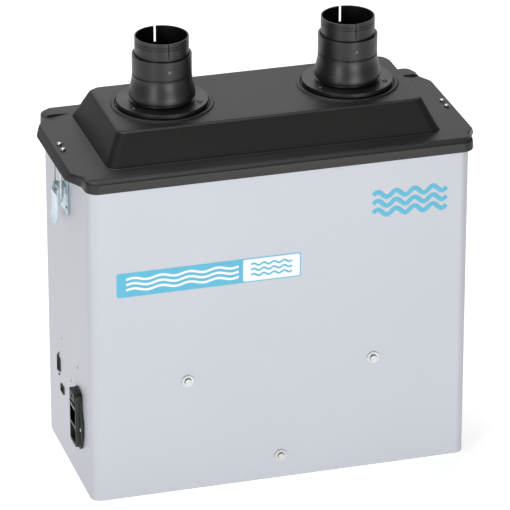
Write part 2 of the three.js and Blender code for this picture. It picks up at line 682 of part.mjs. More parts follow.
function cover() {
  const flange = loft([
    { outline: flangeOutline(0), z: RIM_Z },
    { outline: flangeOutline(SKIRT_TAPER), z: RIM_Z + SKIRT_HEIGHT },
    { outline: flangeOutline(BEVEL_WIDTH), z: LEDGE_Z },
  ]);
  const shaped = cut(flange, aboveEndLedge(1), aboveEndLedge(-1));
  const outer = join(shaped, dome(0), seatBead(-NOZZLE_X), seatBead(NOZZLE_X));
  const screwHole = (side, hand) => {
    const [x, y] = [side * keeperScrewX, hand * KEEPER_SCREW_Y];
    return rodAlongZ(x, y, RIM_Z + CUT, LEDGE_Z + CUT, KEEPER_SCREW_RADIUS + GAP);
  };
  const holes = [-1, 1].flatMap((side) => [
    rodAlongZ(side * NOZZLE_X, 0, DOME_Z - OVERRUN, DOME_Z + OVERRUN, SPIGOT_RADIUS + 2 * GAP, ROUND_SIDES),
    screwHole(side, -1),
    screwHole(side, 1),
  ]);
  return cut(outer, underFlange(), dome(COVER_WALL), ...holes);
}

function coverGasket() {
  const [bottom, top] = [WALL_TOP_Z + GAP, WALL_TOP_Z + GAP + GASKET_HEIGHT];
  const corner = HOUSING_CORNER - 2;
  const ring = (inset, z0, z1) => plate(rectangle(SIDE_X - inset, FRONT_Y - inset, corner), z0, z1);
  return cut(ring(1, bottom, top), ring(SHEET + TOP_FOLD - 1, bottom - CUT, top + CUT));
}

// ---- nozzles --------------------------------------------------------------------------------
const flangeBottomZ = DOME_Z + GAP + NOZZLE_GASKET + GAP;
const neckBottomZ = flangeBottomZ + NOZZLE_FLANGE_HEIGHT;
const bellBottomZ = neckBottomZ + NOZZLE_NECK_HEIGHT;
const collarBottomZ = bellBottomZ + BELL_HEIGHT;
const collarTopZ = collarBottomZ + COLLAR_HEIGHT;
const ringBottomZ = collarTopZ - RING_SEATING;
const setScrewZ = collarTopZ - SET_SCREW_DROP;

function nozzle(x) {
  const bell = [];
  const steps = 4;
  for (let i = 0; i <= steps; i += 1) {
    const t = i / steps;
    const ease = t * t * (3 - 2 * t);
    bell.push([BELL_RADIUS + (COLLAR_RADIUS - BELL_RADIUS) * ease, bellBottomZ + 1 + (BELL_HEIGHT - 2) * t]);
  }
  const bore = RING_RADIUS + GAP;
  const profile = [
    [NOZZLE_BORE, DOME_Z - SPIGOT_DROP],
    [SPIGOT_RADIUS, DOME_Z - SPIGOT_DROP],
    [SPIGOT_RADIUS, flangeBottomZ],
    [FLANGE_RADIUS, flangeBottomZ],
    [FLANGE_RADIUS, neckBottomZ - 1],
    [FLANGE_RADIUS - 1, neckBottomZ],
    [NECK_RADIUS, neckBottomZ],
    [NECK_RADIUS, bellBottomZ],
    ...bell,
    [COLLAR_RADIUS - 0.7, collarBottomZ - 0.4],
    [COLLAR_RADIUS - 0.7, collarBottomZ + 0.4],
    [COLLAR_RADIUS, collarBottomZ + 0.8],
    [COLLAR_RADIUS, collarTopZ - 0.6],
    [COLLAR_RADIUS - 0.6, collarTopZ],
    [bore, collarTopZ],
    [bore, ringBottomZ - GAP],
    [NOZZLE_BORE, ringBottomZ - GAP],
    [NOZZLE_BORE, DOME_Z - SPIGOT_DROP],
  ];
  const screwHole = rodAlongY(
    x,
    setScrewZ,
    -COLLAR_RADIUS - CUT,
    -RING_RADIUS + CUT,
    SET_SCREW_RADIUS + GAP,
  );
  return cut(turned(profile, x, 0), screwHole);
}

function nozzleGasket(x) {
  const [bottom, top] = [DOME_Z + GAP, DOME_Z + GAP + NOZZLE_GASKET];
  const [inner, outer] = [SPIGOT_RADIUS + 1, FLANGE_RADIUS - 1];
  return turned([[inner, bottom], [outer, bottom], [outer, top], [inner, top], [inner, bottom]], x, 0);
}

function hoseRing(x) {
  const top = collarTopZ + RING_REACH;
  const inner = RING_RADIUS - RING_WALL;
  const profile = [
    [inner, ringBottomZ],
    [RING_RADIUS, ringBottomZ],
    [RING_RADIUS, top - 0.5],
    [RING_RADIUS - 0.5, top],
    [inner, top],
    [inner, ringBottomZ],
  ];
  const slit = block(x - RING_SLIT / 2, x + RING_SLIT / 2, -RING_RADIUS - CUT, RING_RADIUS + CUT,
    collarTopZ + 1.5, top + CUT);
  return cut(turned(profile, x, 0), slit);
}

function setScrew(x) {
  return rodAlongY(x, setScrewZ, -COLLAR_RADIUS - 0.6, -RING_RADIUS - GAP, SET_SCREW_RADIUS);
}

// ---- draw latches, one on each end ----------------------------------------------------------
const flat = (side, points) => points.map(([x, z]) => new THREE.Vector2(side * (PIVOT_X + x), PIVOT_Z + z));
const barZ = RIM_Z - BAR_BELOW_RIM;

function latchBase(side) {
  const near = SIDE_X + GAP - PIVOT_X;
  const back = sheetAlongY(
    flat(side, [
      [near, LATCH_BASE_ABOVE],
      [near, -LATCH_BASE_BELOW],
      [near + LATCH_SHEET, -LATCH_BASE_BELOW],
      [near + LATCH_SHEET, LATCH_BASE_ABOVE],
    ]),
    -LATCH_BASE_HALF_WIDTH,
    LATCH_BASE_HALF_WIDTH,
  );
  const round = Array.from({ length: 7 }, (_, i) => {
    const angle = THREE.MathUtils.degToRad(-90 + 30 * i);
    return [EAR_RADIUS * Math.cos(angle), EAR_RADIUS * Math.sin(angle)];
  });
  const outline = flat(side, [[near + 0.5, -EAR_RADIUS - 2], ...round, [near + 0.5, EAR_RADIUS + 2]]);
  const ears = [-1, 1].map((hand) => {
    const faces = [hand * EAR_OUT, hand * (EAR_OUT - LATCH_SHEET)].sort((a, b) => a - b);
    return sheetAlongY(outline, ...faces);
  });
  const bore = LATCH_PIN_RADIUS + RUNNING_CLEARANCE;
  const hole = rodAlongY(side * PIVOT_X, PIVOT_Z, -EAR_OUT - CUT, EAR_OUT + CUT, bore);
  return cut(join(back, ...ears), hole);
}

function latchPin(side) {
  return rodAlongY(side * PIVOT_X, PIVOT_Z, -CHEEK_OUT - 0.5, CHEEK_OUT + 0.5, LATCH_PIN_RADIUS);
}

function latchLever(side) {
  const out = LEVER_PLATE_OUT;
  const curlX = out + LEVER_CURL;
  const curlZ = -LEVER_LENGTH;
  const plateOutline = flat(side, [
    [out, -5],
    [out, -LEVER_LENGTH + 9],
    [curlX - 1, curlZ],
    [curlX, curlZ + 0.9],
    [out + LATCH_SHEET, -LEVER_LENGTH + 10],
    [out + LATCH_SHEET, -5],
  ]);
  const cheekOutline = flat(side, [
    [-3, 3],
    [2, 3],
    [out + LATCH_SHEET, -5],
    [out + LATCH_SHEET, -LEVER_LENGTH + 20],
    [-1, -BAIL_THROW - 5],
    [-3.5, -BAIL_THROW],
  ]);
  const cheeks = [-1, 1].map((hand) => {
    const faces = [hand * CHEEK_OUT, hand * (CHEEK_OUT - LATCH_SHEET)].sort((a, b) => a - b);
    return sheetAlongY(cheekOutline, ...faces);
  });
  const reach = CHEEK_OUT + CUT;
  const hole = (drop, radius) =>
    rodAlongY(side * PIVOT_X, PIVOT_Z - drop, -reach, reach, radius + RUNNING_CLEARANCE);
  return cut(
    join(sheetAlongY(plateOutline, -CHEEK_OUT, CHEEK_OUT), ...cheeks),
    hole(0, LATCH_PIN_RADIUS),
    hole(BAIL_THROW, BAIL_RADIUS),
  );
}

// A wire loop from the lever up to the keeper under the lug.
function latchBail(side) {
  const point = (x, y, z) => new THREE.Vector3(side * x, y, z);
  const low = PIVOT_Z - BAIL_THROW;
  const inward = EAR_OUT + GAP + 0.2;
  const path = [
    point(PIVOT_X, -inward, low),
    point(PIVOT_X, -BAIL_HALF_WIDTH, low),
    point(PIVOT_X, -BAIL_HALF_WIDTH, barZ),
    point(PIVOT_X, BAIL_HALF_WIDTH, barZ),
    point(PIVOT_X, BAIL_HALF_WIDTH, low),
    point(PIVOT_X, inward, low),
  ];
  const wires = path.slice(1).map((end, i) => rod(path[i], end, BAIL_RADIUS, WIRE_SIDES));
  const bends = path.slice(1, -1).map((corner) => ball(corner, BAIL_RADIUS));
  return join(...wires, ...bends);
}

// A bent strip under the lug: its leg hangs down just inboard of the bail's bar.
const underLug = (x) => endSlope(x) - COVER_WALL - GAP;

function keeper(side) {
  const innerX = SIDE_X + GAP;
  const legX = PIVOT_X - BAIL_RADIUS - 2 * GAP;
  const foot = barZ - BAIL_RADIUS;
  const outline = [
    [innerX, underLug(innerX)],
    [legX, underLug(legX)],
    [legX, foot],
    [legX - KEEPER_SHEET, foot],
    [legX - KEEPER_SHEET, underLug(legX) - KEEPER_SHEET],
    [innerX, underLug(innerX) - KEEPER_SHEET],
  ].map(([x, z]) => new THREE.Vector2(side * x, z));
  const holes = [-1, 1].map((hand) =>
    rodAlongZ(side * keeperScrewX, hand * KEEPER_SCREW_Y, RIM_Z + CUT, LEDGE_Z, KEEPER_SCREW_RADIUS + GAP),
  );
  return cut(sheetAlongY(outline, -KEEPER_HALF_WIDTH, KEEPER_HALF_WIDTH), ...holes);
}

function keeperScrew(side, hand) {
  const seat = endSlope(keeperScrewX) + GAP;
  const tip = underLug(keeperScrewX) - KEEPER_SHEET - 1;
  const profile = [
    [0, tip],
    [KEEPER_SCREW_RADIUS, tip],
    [KEEPER_SCREW_RADIUS, seat],
    [KEEPER_SCREW_HEAD, seat],
    [KEEPER_SCREW_HEAD, seat + 1],
    [KEEPER_SCREW_HEAD * 0.7, seat + 2],
    [0, seat + 2.2],
  ];
  return turned(profile, side * keeperScrewX, hand * KEEPER_SCREW_Y, PIN_SIDES);
}

// ---- blower ---------------------------------------------------------------------------------
// Spiral outline of the scroll with its straight duct to the exhaust side, in X and Z.
function scrollOutline(inset, mouthX) {
  const points = [];
  const [start, end] = [SCROLL_START_ANGLE, 270];
  for (let i = 0; i <= SCROLL_STEPS; i += 1) {
    const t = i / SCROLL_STEPS;
    const angle = THREE.MathUtils.degToRad(start + (end - start) * t);
    const radius = SCROLL_START + (SCROLL_END - SCROLL_START) * t - inset;
    points.push(new THREE.Vector2(radius * Math.cos(angle), BLOWER_Z + radius * Math.sin(angle)));
  }
  points.push(new THREE.Vector2(mouthX, DUCT_Z + inset));
  points.push(new THREE.Vector2(mouthX, DUCT_Z + DUCT_HEIGHT - inset));
  return points;
}

const mouthX = SIDE_X - SHEET - GAP - GRILLE_THICKNESS - GAP;

function voluteHousing() {
  const floorY = SCROLL_FRONT_Y + SCROLL_WALL;
  const hollow = sheetAlongY(scrollOutline(SCROLL_WALL, mouthX + CUT), floorY, SCROLL_BACK_Y + CUT);
  const shaftHole = rodAlongY(0, BLOWER_Z, SCROLL_FRONT_Y - CUT, floorY + CUT, SHAFT_RADIUS + 2);
  return cut(sheetAlongY(scrollOutline(0, mouthX), SCROLL_FRONT_Y, SCROLL_BACK_Y), hollow, shaftHole);
}

function voluteInletPlate() {
  const front = SCROLL_BACK_Y + GAP;
  const lip = [
    [EYE_RADIUS, front],
    [EYE_RADIUS + SCROLL_WALL, front],
    [EYE_RADIUS + SCROLL_WALL, front + 7],
    [EYE_RADIUS, front + 7],
    [EYE_RADIUS, front],
  ].map(([radius, height]) => new THREE.Vector2(radius, height));
  const bell = toSolid(shifted(new THREE.LatheGeometry(lip, ROUND_SIDES), 0, 0, BLOWER_Z));
  const sheet = sheetAlongY(scrollOutline(0, mouthX), front, front + SCROLL_WALL);
  const eye = rodAlongY(0, BLOWER_Z, front - CUT, front + OVERRUN, EYE_RADIUS + 1, ROUND_SIDES);
  return join(cut(sheet, eye), bell);
}

// One blade in X and Z about the blower axis, swept back from root to tip.
function bladeOutline(turn) {
  const steps = 4;
  const [root, tip] = [HUB_RADIUS + BLADE_ROOT, IMPELLER_RADIUS - 1];
  const line = (offset) => Array.from({ length: steps + 1 }, (_, i) => {
    const t = i / steps;
    const radius = root + (tip - root) * t;
    const angle = turn - THREE.MathUtils.degToRad(BLADE_SWEEP) * t + offset / radius;
    return new THREE.Vector2(radius * Math.cos(angle), BLOWER_Z + radius * Math.sin(angle));
  });
  return [...line(-BLADE_THICKNESS / 2), ...line(BLADE_THICKNESS / 2).reverse()];
}

function impeller() {
  const front = SCROLL_FRONT_Y + SCROLL_WALL + IMPELLER_GAP;
  const back = front + IMPELLER_WIDTH;
  const disc = (y0, y1, radius) => rodAlongY(0, BLOWER_Z, y0, y1, radius, ROUND_SIDES);
  const blades = Array.from({ length: BLADE_COUNT }, (_, i) =>
    sheetAlongY(bladeOutline((2 * Math.PI * i) / BLADE_COUNT), front + 1, back - 1));
  const shroud = cut(disc(back - 2, back, IMPELLER_RADIUS), disc(back - 2 - CUT, back + CUT, EYE_RADIUS));
  const backDisc = disc(front, front + 2, IMPELLER_RADIUS);
  const hub = disc(front, front + HUB_LENGTH, HUB_RADIUS);
  const wheel = join(backDisc, hub, ...blades, shroud);
  return cut(wheel, disc(front - CUT, front + HUB_LENGTH + CUT, SHAFT_RADIUS + GAP));
}

function blowerMotor() {
  const can = (y0, y1, radius) => rodAlongY(0, BLOWER_Z, y0, y1, radius, ROUND_SIDES);
  const standoffs = [90, 210, 330].map((degrees) => {
    const angle = THREE.MathUtils.degToRad(degrees);
    const reach = MOTOR_RADIUS - 2 * STANDOFF_RADIUS;
    return rodAlongY(reach * Math.cos(angle), BLOWER_Z + reach * Math.sin(angle), BRACKET_BACK_Y + GAP,
      MOTOR_FRONT_Y + CUT, STANDOFF_RADIUS);
  });
  const body = join(
    can(MOTOR_FRONT_Y, MOTOR_BACK_Y, MOTOR_RADIUS - 4),
    can(MOTOR_FRONT_Y + 6, MOTOR_BACK_Y - 8, MOTOR_RADIUS),
    ...standoffs,
  );
  return cut(body, can(MOTOR_BACK_Y - MOTOR_BORE_DEPTH, MOTOR_BACK_Y + CUT, SHAFT_RADIUS + GAP));
}

function motorShaft() {
  const start = MOTOR_BACK_Y - MOTOR_BORE_DEPTH + GAP;
  const end = SCROLL_FRONT_Y + SCROLL_WALL + IMPELLER_GAP + HUB_LENGTH + SHAFT_PAST_HUB;
  return rodAlongY(0, BLOWER_Z, start, end, SHAFT_RADIUS, 16);
}

// A flat spider behind the front wall: a disc with an arm to each of the three screws.
function blowerBracket() {
  const [y0, y1] = [BRACKET_BACK_Y - SHEET, BRACKET_BACK_Y];
  const arms = frontScrewPlaces.map(([x, z]) => {
    const along = new THREE.Vector2(x, z - BLOWER_Z).normalize();
    const across = new THREE.Vector2(-along.y, along.x).multiplyScalar(BRACKET_ARM / 2);
    const far = along.clone().multiplyScalar(MOUNT_RADIUS + BRACKET_ARM / 2 - 3);
    const corners = [across, across.clone().negate(), far.clone().sub(across), far.clone().add(across)];
    return sheetAlongY(corners.map((corner) => new THREE.Vector2(corner.x, corner.y + BLOWER_Z)), y0, y1);
  });
  const disc = rodAlongY(0, BLOWER_Z, y0, y1, MOTOR_RADIUS + 6, ROUND_SIDES);
  const bore = FRONT_SCREW_RADIUS + GAP;
  const holes = frontScrewPlaces.map(([x, z]) => rodAlongY(x, z, y0 - CUT, y1 + CUT, bore));
  return cut(join(disc, ...arms), ...holes);
}

function frontWasher([x, z]) {
  const outer = -FRONT_Y - GAP;
  return cut(
    rodAlongY(x, z, outer - WASHER_THICKNESS, outer, WASHER_RADIUS, 20),
    rodAlongY(x, z, outer - WASHER_THICKNESS - CUT, outer + CUT, FRONT_SCREW_RADIUS + GAP),
  );
}

function frontScrew([x, z]) {
  const seat = -FRONT_Y - GAP - WASHER_THICKNESS - GAP;
  return join(
    rodAlongY(x, z, seat - FRONT_SCREW_HEAD_HEIGHT, seat, FRONT_SCREW_HEAD, 16),
    rodAlongY(x, z, seat - 1, BRACKET_BACK_Y + 4, FRONT_SCREW_RADIUS),
  );
}

function exhaustGrille() {
  const [x0, x1] = [SIDE_X - SHEET - GAP - GRILLE_THICKNESS, SIDE_X - SHEET - GAP];
  const [y0, y1] = [SCROLL_FRONT_Y, SCROLL_BACK_Y];
  const [z0, z1] = [DUCT_Z, DUCT_Z + DUCT_HEIGHT];
  const pitch = GRILLE_SLOT + GRILLE_BAR;
  const count = Math.floor((SCROLL_WIDTH - 2 * GRILLE_BORDER + GRILLE_BAR) / pitch);
  const slots = Array.from({ length: count }, (_, i) => {
    const y = (y0 + y1) / 2 + (i - (count - 1) / 2) * pitch;
    const [low, high] = [z0 + GRILLE_BORDER, z1 - GRILLE_BORDER];
    return block(x0 - CUT, x1 + CUT, y - GRILLE_SLOT / 2, y + GRILLE_SLOT / 2, low, high);
  });
  return cut(block(x0, x1, y0, y1, z0, z1), ...slots);
}

// ---- mains inlet ----------------------------------------------------------------------------
const inletFaceX = -SIDE_X - INLET_FACE;
const socketZ = inletZ - SOCKET_BELOW;
const rockerZ = inletZ + ROCKER_ABOVE;
const fuseZ = inletZ + FUSE_ABOVE;

function bezelOutline() {
  const halfY = INLET_BODY_WIDTH / 2 + BEZEL_MARGIN[0];
  const halfZ = INLET_BODY_LENGTH / 2 + BEZEL_MARGIN[1];
  const ear = EAR_SPAN / 2;
  const [high, low] = [-EAR_BELOW + EAR_LENGTH / 2, -EAR_BELOW - EAR_LENGTH / 2];
  const right = [
    [halfY, low - BEZEL_CHAMFER, 2],
    [ear, low + 4, 5],
    [ear, high - 4, 5],
    [halfY, high + BEZEL_CHAMFER, 2],
    [halfY, halfZ - BEZEL_CHAMFER, 2],
    [halfY - BEZEL_CHAMFER, halfZ, 2],
  ];
  const left = right.map(([y, z, r]) => [-y, z, r]).reverse();
  const bottom = [[-halfY + BEZEL_CHAMFER / 2, -halfZ, 2], [halfY - BEZEL_CHAMFER / 2, -halfZ, 2]];
  return moved(rounded([...right, ...left, ...bottom]), INLET_Y, inletZ);
}

function inletBody() {
  const wallX = -SIDE_X - GAP;
  const bodyOutline = moved(rectangle(INLET_BODY_WIDTH / 2, INLET_BODY_LENGTH / 2, 4), INLET_Y, inletZ);
  const body = join(
    sheetAlongX(bezelOutline(), wallX - BEZEL_THICKNESS, wallX),
    sheetAlongX(bodyOutline, inletFaceX, -SIDE_X + INLET_BODY_DEPTH),
  );
  const pocket = ([sizeY, sizeZ], z, depth, radius) => {
    const outline = moved(rectangle(sizeY / 2, sizeZ / 2, radius), INLET_Y, z);
    return sheetAlongX(outline, inletFaceX - CUT, inletFaceX + depth);
  };
  const [fuseY, fuseTall, fuseDepth] = FUSE_SIZE;
  const fuseHole = [fuseY + 2 * FUSE_CLEARANCE, fuseTall + 2 * FUSE_CLEARANCE];
  return cut(
    body,
    pocket(SOCKET_SIZE, socketZ, SOCKET_DEPTH, 3),
    pocket(ROCKER_WINDOW, rockerZ, ROCKER_DEPTH, 1),
    pocket(fuseHole, fuseZ, fuseDepth + 1, 0.5),
  );
}

function inletPin(offsetY, offsetZ) {
  const floorX = inletFaceX + SOCKET_DEPTH - GAP;
  const [y, z] = [INLET_Y + offsetY, socketZ + offsetZ];
  const [halfZ, halfY] = [PIN_SIZE[0] / 2, PIN_SIZE[1] / 2];
  return block(floorX - PIN_SIZE[2], floorX, y - halfY, y + halfY, z - halfZ, z + halfZ);
}

// The rocker rests with one end pressed in.
function rockerSwitch() {
  const pivotX = inletFaceX + ROCKER_PIVOT_DEPTH;
  const [reach, half] = [ROCKER_REACH, ROCKER_WINDOW[1] / 2 - ROCKER_END_GAP];
  const turn = THREE.MathUtils.degToRad(ROCKER_TILT);
  const stem = [[ROCKER_STEM, -4], [ROCKER_STEM, 4]];
  const cap = [[-2, half], [-reach, half], [-reach + ROCKER_DISH, 0], [-reach, -half], [-2, -half]];
  const outline = [...stem, ...cap]
    .map(([x, z]) => new THREE.Vector2(x, z).rotateAround(new THREE.Vector2(), turn))
    .map((point) => point.add(new THREE.Vector2(pivotX, rockerZ)));
  const halfY = ROCKER_WINDOW[0] / 2 - 0.5;
  return sheetAlongY(outline, INLET_Y - halfY, INLET_Y + halfY);
}

function fuseDrawer() {
  const [sizeY, sizeZ, sizeX] = FUSE_SIZE;
  const face = inletFaceX - FUSE_PROUD;
  const slab = (x0, x1, halfY, halfZ) =>
    block(x0, x1, INLET_Y - halfY, INLET_Y + halfY, fuseZ - halfZ, fuseZ + halfZ);
  const body = slab(face, face + sizeX, sizeY / 2, sizeZ / 2);
  const fingerNotch = slab(face - CUT, face + 1.2, sizeY / 5, sizeZ / 5);
  return cut(body, fingerNotch);
}

// ---- signal connectors and electronics ------------------------------------------------------
function framedSocket(outline, y, z) {
  const face = -SIDE_X - CONNECTOR_PROUD;
  return cut(
    sheetAlongX(moved(outline(0), y, z), face, face + CONNECTOR_DEPTH),
    sheetAlongX(moved(outline(-CONNECTOR_WALL), y, z), face - CUT, face + CONNECTOR_RECESS),
  );
}

// A board behind the signal connectors, with its larger components as blocks.
function controlBoard() {
  const x0 = -SIDE_X - CONNECTOR_PROUD + CONNECTOR_DEPTH + GAP;
  const x1 = x0 + BOARD_THICKNESS;
  const y0 = INLET_Y + INLET_BODY_WIDTH / 2 + BOARD_FROM_INLET;
  const y1 = DSUB_Y + BOARD_PAST_DSUB;
  const [middleY, middleZ] = [(y0 + y1) / 2, BASE_Z + BOARD_HEIGHT];
  const [halfY, halfZ] = [(y1 - y0) / 2, BOARD_TALL / 2];
  const board = block(x0, x1, y0, y1, middleZ - halfZ, middleZ + halfZ);
  const components = BOARD_PARTS.map(([shareY, shareZ, tall, size]) => {
    const [y, z] = [middleY + shareY * halfY, middleZ + shareZ * halfZ];
    return block(x1 - BOARD_THICKNESS / 2, x1 + tall, y - size / 2, y + size / 2, z - size, z + size);
  });
  return join(board, ...components);
}

// A vented metal case on the base plate.
function powerSupply() {
  const x0 = -SIDE_X + SUPPLY_FROM_WALL;
  const z0 = BASE_Z + SHEET + GAP + SHEET + GAP;
  const [sizeX, sizeY, sizeZ] = SUPPLY_SIZE;
  const y1 = FRONT_Y - SHEET - SUPPLY_FROM_BACK;
  const y0 = y1 - sizeY;
  const pitch = sizeY / (SUPPLY_VENTS + 1);
  const body = block(x0, x0 + sizeX, y0, y1, z0, z0 + sizeZ);
  const vents = Array.from({ length: SUPPLY_VENTS }, (_, i) => {
    const y = y0 + (i + 1) * pitch;
    return block(x0 + 10, x0 + sizeX - 10, y - pitch / 6, y + pitch / 6, z0 + sizeZ - 3, z0 + sizeZ + CUT);
  });
  return cut(body, ...vents);
}

// ---- assembly -------------------------------------------------------------------------------
addPiece('housing_shell', housingShell(), greyPaint);
addPiece('base_plate', basePlate(), galvanised);
let footNumber = 0;
for (const x of [-SIDE_X + FOOT_INSET, SIDE_X - FOOT_INSET]) {
  for (const y of [-FRONT_Y + FOOT_INSET, FRONT_Y - FOOT_INSET]) {
    footNumber += 1;
    addPiece(`rubber_foot_${footNumber}`, rubberFoot(x, y), blackRubber);
  }
}
addPiece('filter_deck', filterDeck(), galvanised);
frontScrewPlaces.forEach((place, i) => {
  addPiece(`front_washer_${i + 1}`, frontWasher(place), brightSteel);
  addPiece(`front_screw_${i + 1}`, frontScrew(place), brightSteel);
});

addPiece('blower_bracket', blowerBracket(), galvanised);
addPiece('blower_motor', blowerMotor(), aluminium);
addPiece('volute_housing', voluteHousing(), blackPlastic);
addPiece('volute_inlet_plate', voluteInletPlate(), blackPlastic);
addPiece('impeller', impeller(), greyPlastic);
addPiece('motor_shaft', motorShaft(), brightSteel);
addPiece('exhaust_grille', exhaustGrille(), blackPlastic);

addPiece('inlet_body', inletBody(), blackPlastic);
addPiece('rocker_switch', rockerSwitch(), greyPlastic);
addPiece('fuse_drawer', fuseDrawer(), blackPlastic);
[[-PIN_PITCH, PIN_OFFSET / 2], [PIN_PITCH, PIN_OFFSET / 2], [0, -PIN_OFFSET / 2]].forEach(([y, z], i) => {
  addPiece(`inlet_pin_${i + 1}`, inletPin(y, z), brass);
});
addPiece('dsub_connector', framedSocket(dsubOutline, DSUB_Y, dsubZ), blackPlastic);
addPiece('interface_jack', framedSocket(jackOutline, JACK_Y, jackZ), blackPlastic);
addPiece('control_board', controlBoard(), boardGreen);
addPiece('power_supply', powerSupply(), galvanised);

addPiece('filter_seal', filterSeal(), blackRubber);
addPiece('filter_frame', filterFrame(), greyPlastic);
addPiece('carbon_bed', carbonBed(), carbonBlack);
addPiece('pleated_filter', pleatedFilter(), filterFleece);
addPiece('prefilter_mat', prefilterMat(), filterFleece);

addPiece('cover', cover(), blackPlastic);
addPiece('cover_gasket', coverGasket(), blackRubber);
for (const [hand, side] of [['left', -1], ['right', 1]]) {
  const nozzleX = side * NOZZLE_X;
  addPiece(`nozzle_${hand}`, nozzle(nozzleX), blackPlastic);
  addPiece(`nozzle_gasket_${hand}`, nozzleGasket(nozzleX), blackRubber);
  addPiece(`hose_ring_${hand}`, hoseRing(nozzleX), blackPlastic);
  addPiece(`set_screw_${hand}`, setScrew(nozzleX), brightSteel);
  addPiece(`keeper_${hand}`, keeper(side), brightSteel);
  addPiece(`keeper_screw_${hand}_1`, keeperScrew(side, -1), brightSteel);
  addPiece(`keeper_screw_${hand}_2`, keeperScrew(side, 1), brightSteel);
  addPiece(`latch_base_${hand}`, latchBase(side), zincSteel);
  addPiece(`latch_pin_${hand}`, latchPin(side), brightSteel);
  addPiece(`latch_lever_${hand}`, latchLever(side), zincSteel);
  addPiece(`latch_bail_${hand}`, latchBail(side), brightSteel);
}

export default model;
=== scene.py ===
# %% [markdown]
# # Solder fume extractor
# A painted steel box with a black moulded cover. Two nozzles on the cover take the suction hoses,
# two draw latches hold it down, and under it lie a fleece mat, a filter cassette and a blower.
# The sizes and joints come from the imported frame. Its parts could be shown as they are, but they have
# sharp edges and no surface, so this script gives each its real finish and its small detail.

# %% Load the frame
import json
import math

import bmesh
import bpy
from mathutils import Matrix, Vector


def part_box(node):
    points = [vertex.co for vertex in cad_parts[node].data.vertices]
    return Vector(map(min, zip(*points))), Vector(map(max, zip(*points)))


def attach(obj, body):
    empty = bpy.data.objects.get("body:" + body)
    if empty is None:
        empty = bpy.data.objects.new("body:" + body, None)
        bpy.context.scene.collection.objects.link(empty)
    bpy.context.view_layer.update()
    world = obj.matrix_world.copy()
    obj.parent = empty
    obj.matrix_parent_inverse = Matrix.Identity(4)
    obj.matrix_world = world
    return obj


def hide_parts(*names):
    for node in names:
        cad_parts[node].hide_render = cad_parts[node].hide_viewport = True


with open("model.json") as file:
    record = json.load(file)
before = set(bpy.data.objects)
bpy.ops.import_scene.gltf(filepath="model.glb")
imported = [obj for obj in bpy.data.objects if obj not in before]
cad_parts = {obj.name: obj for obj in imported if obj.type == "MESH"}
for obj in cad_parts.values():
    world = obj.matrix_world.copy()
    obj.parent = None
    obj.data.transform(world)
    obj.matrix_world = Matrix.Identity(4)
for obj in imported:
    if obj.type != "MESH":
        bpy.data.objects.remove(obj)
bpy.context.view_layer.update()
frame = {"nodes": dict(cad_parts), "record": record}
MM = 0.001
record = frame["record"]
BODY_OF = {node: body for body, members in record["behaviour"]["bodies"].items() for node in members}
SLOT_OF = {row["node"]: row["material_slot"] for row in record["subparts"]}

# %% [markdown]
# ## Studio
# A product like this is shot in a white cove. One bright sky would light it too, but a black cover
# would then lose its form. So a square softbox above gives the even light, a wide one behind is
# mirrored in the cover's top, a tall one models the left wall, and a low strip lifts the painted
# front. The camera is a long lens from the front left, a little above the cover.

# %% Camera, lights and floor
CAMERA_PLACE = (-1.2092, -4.1158, 2.1888)
CAMERA_YAW = 0.2857
CAMERA_PITCH = 0.4282
CAMERA_LENS = 300.34
SENSOR_WIDTH = 36
VIEW_DEPTH = 50
LIT_POINT = (0, 0, 0.25)
SOFTBOXES = {
    # place, width, height and watts
    "softbox_above": ((-0.2, 0.4, 2.2), 1.4, 1.4, 22),
    "softbox_behind": ((0.3, 2.6, 1.5), 3.4, 1.6, 22),
    "softbox_left": ((-2.1, -2.0, 0.7), 0.6, 1.8, 31),
    "strip_in_front": ((0.6, -3.2, 0.16), 1.4, 0.3, 34),
}


def add_camera():
    data = bpy.data.cameras.new("camera")
    data.lens = CAMERA_LENS
    data.sensor_width = SENSOR_WIDTH
    data.clip_end = VIEW_DEPTH
    camera = bpy.data.objects.new("camera", data)
    camera.location = CAMERA_PLACE
    camera.rotation_euler = (math.pi / 2 - CAMERA_PITCH, 0, -CAMERA_YAW)
    bpy.context.scene.collection.objects.link(camera)
    bpy.context.scene.camera = camera


def add_softbox(name, place, width, height, watts):
    data = bpy.data.lights.new(name, "AREA")
    data.shape = "RECTANGLE"
    data.size = width
    data.size_y = height
    data.energy = watts
    light = bpy.data.objects.new(name, data)
    light.location = place
    light.rotation_euler = (Vector(LIT_POINT) - Vector(place)).to_track_quat("-Z", "Y").to_euler()
    bpy.context.scene.collection.objects.link(light)


add_camera()
for name, (place, width, height, watts) in SOFTBOXES.items():
    add_softbox(name, place, width, height, watts)
print("camera and", len(SOFTBOXES), "softboxes")

# %% [markdown]
# ## Shader sums
# Surface detail is worked out from the place on the part: noise, cells and stripes are mixed by
# plain sums. Written node by node, those sums are hard to see, so one small class wraps a socket and
# lets Python's own operators add the nodes. A second class holds a finish while it is put together.
# Scales count features per metre, and relief is in metres.


# %% Shader helpers
class Signal:
    """A shader socket that can be used in a sum."""

    def __init__(self, finish, socket):
        self.finish = finish
        self.socket = socket

    def maths(self, operation, first, second=0.0):
        return self.finish.node("ShaderNodeMath", {"operation": operation}, {0: first, 1: second})

    def __add__(self, other):
        return self.maths("ADD", self, other)

    def __radd__(self, other):
        return self.maths("ADD", other, self)

    def __rsub__(self, other):
        return self.maths("SUBTRACT", other, self)

    def __mul__(self, other):
        return self.maths("MULTIPLY", self, other)

    def __rmul__(self, other):
        return self.maths("MULTIPLY", other, self)

    def __pow__(self, other):
        return self.maths("POWER", self, other)

    def __lt__(self, other):
        return self.maths("LESS_THAN", self, other)


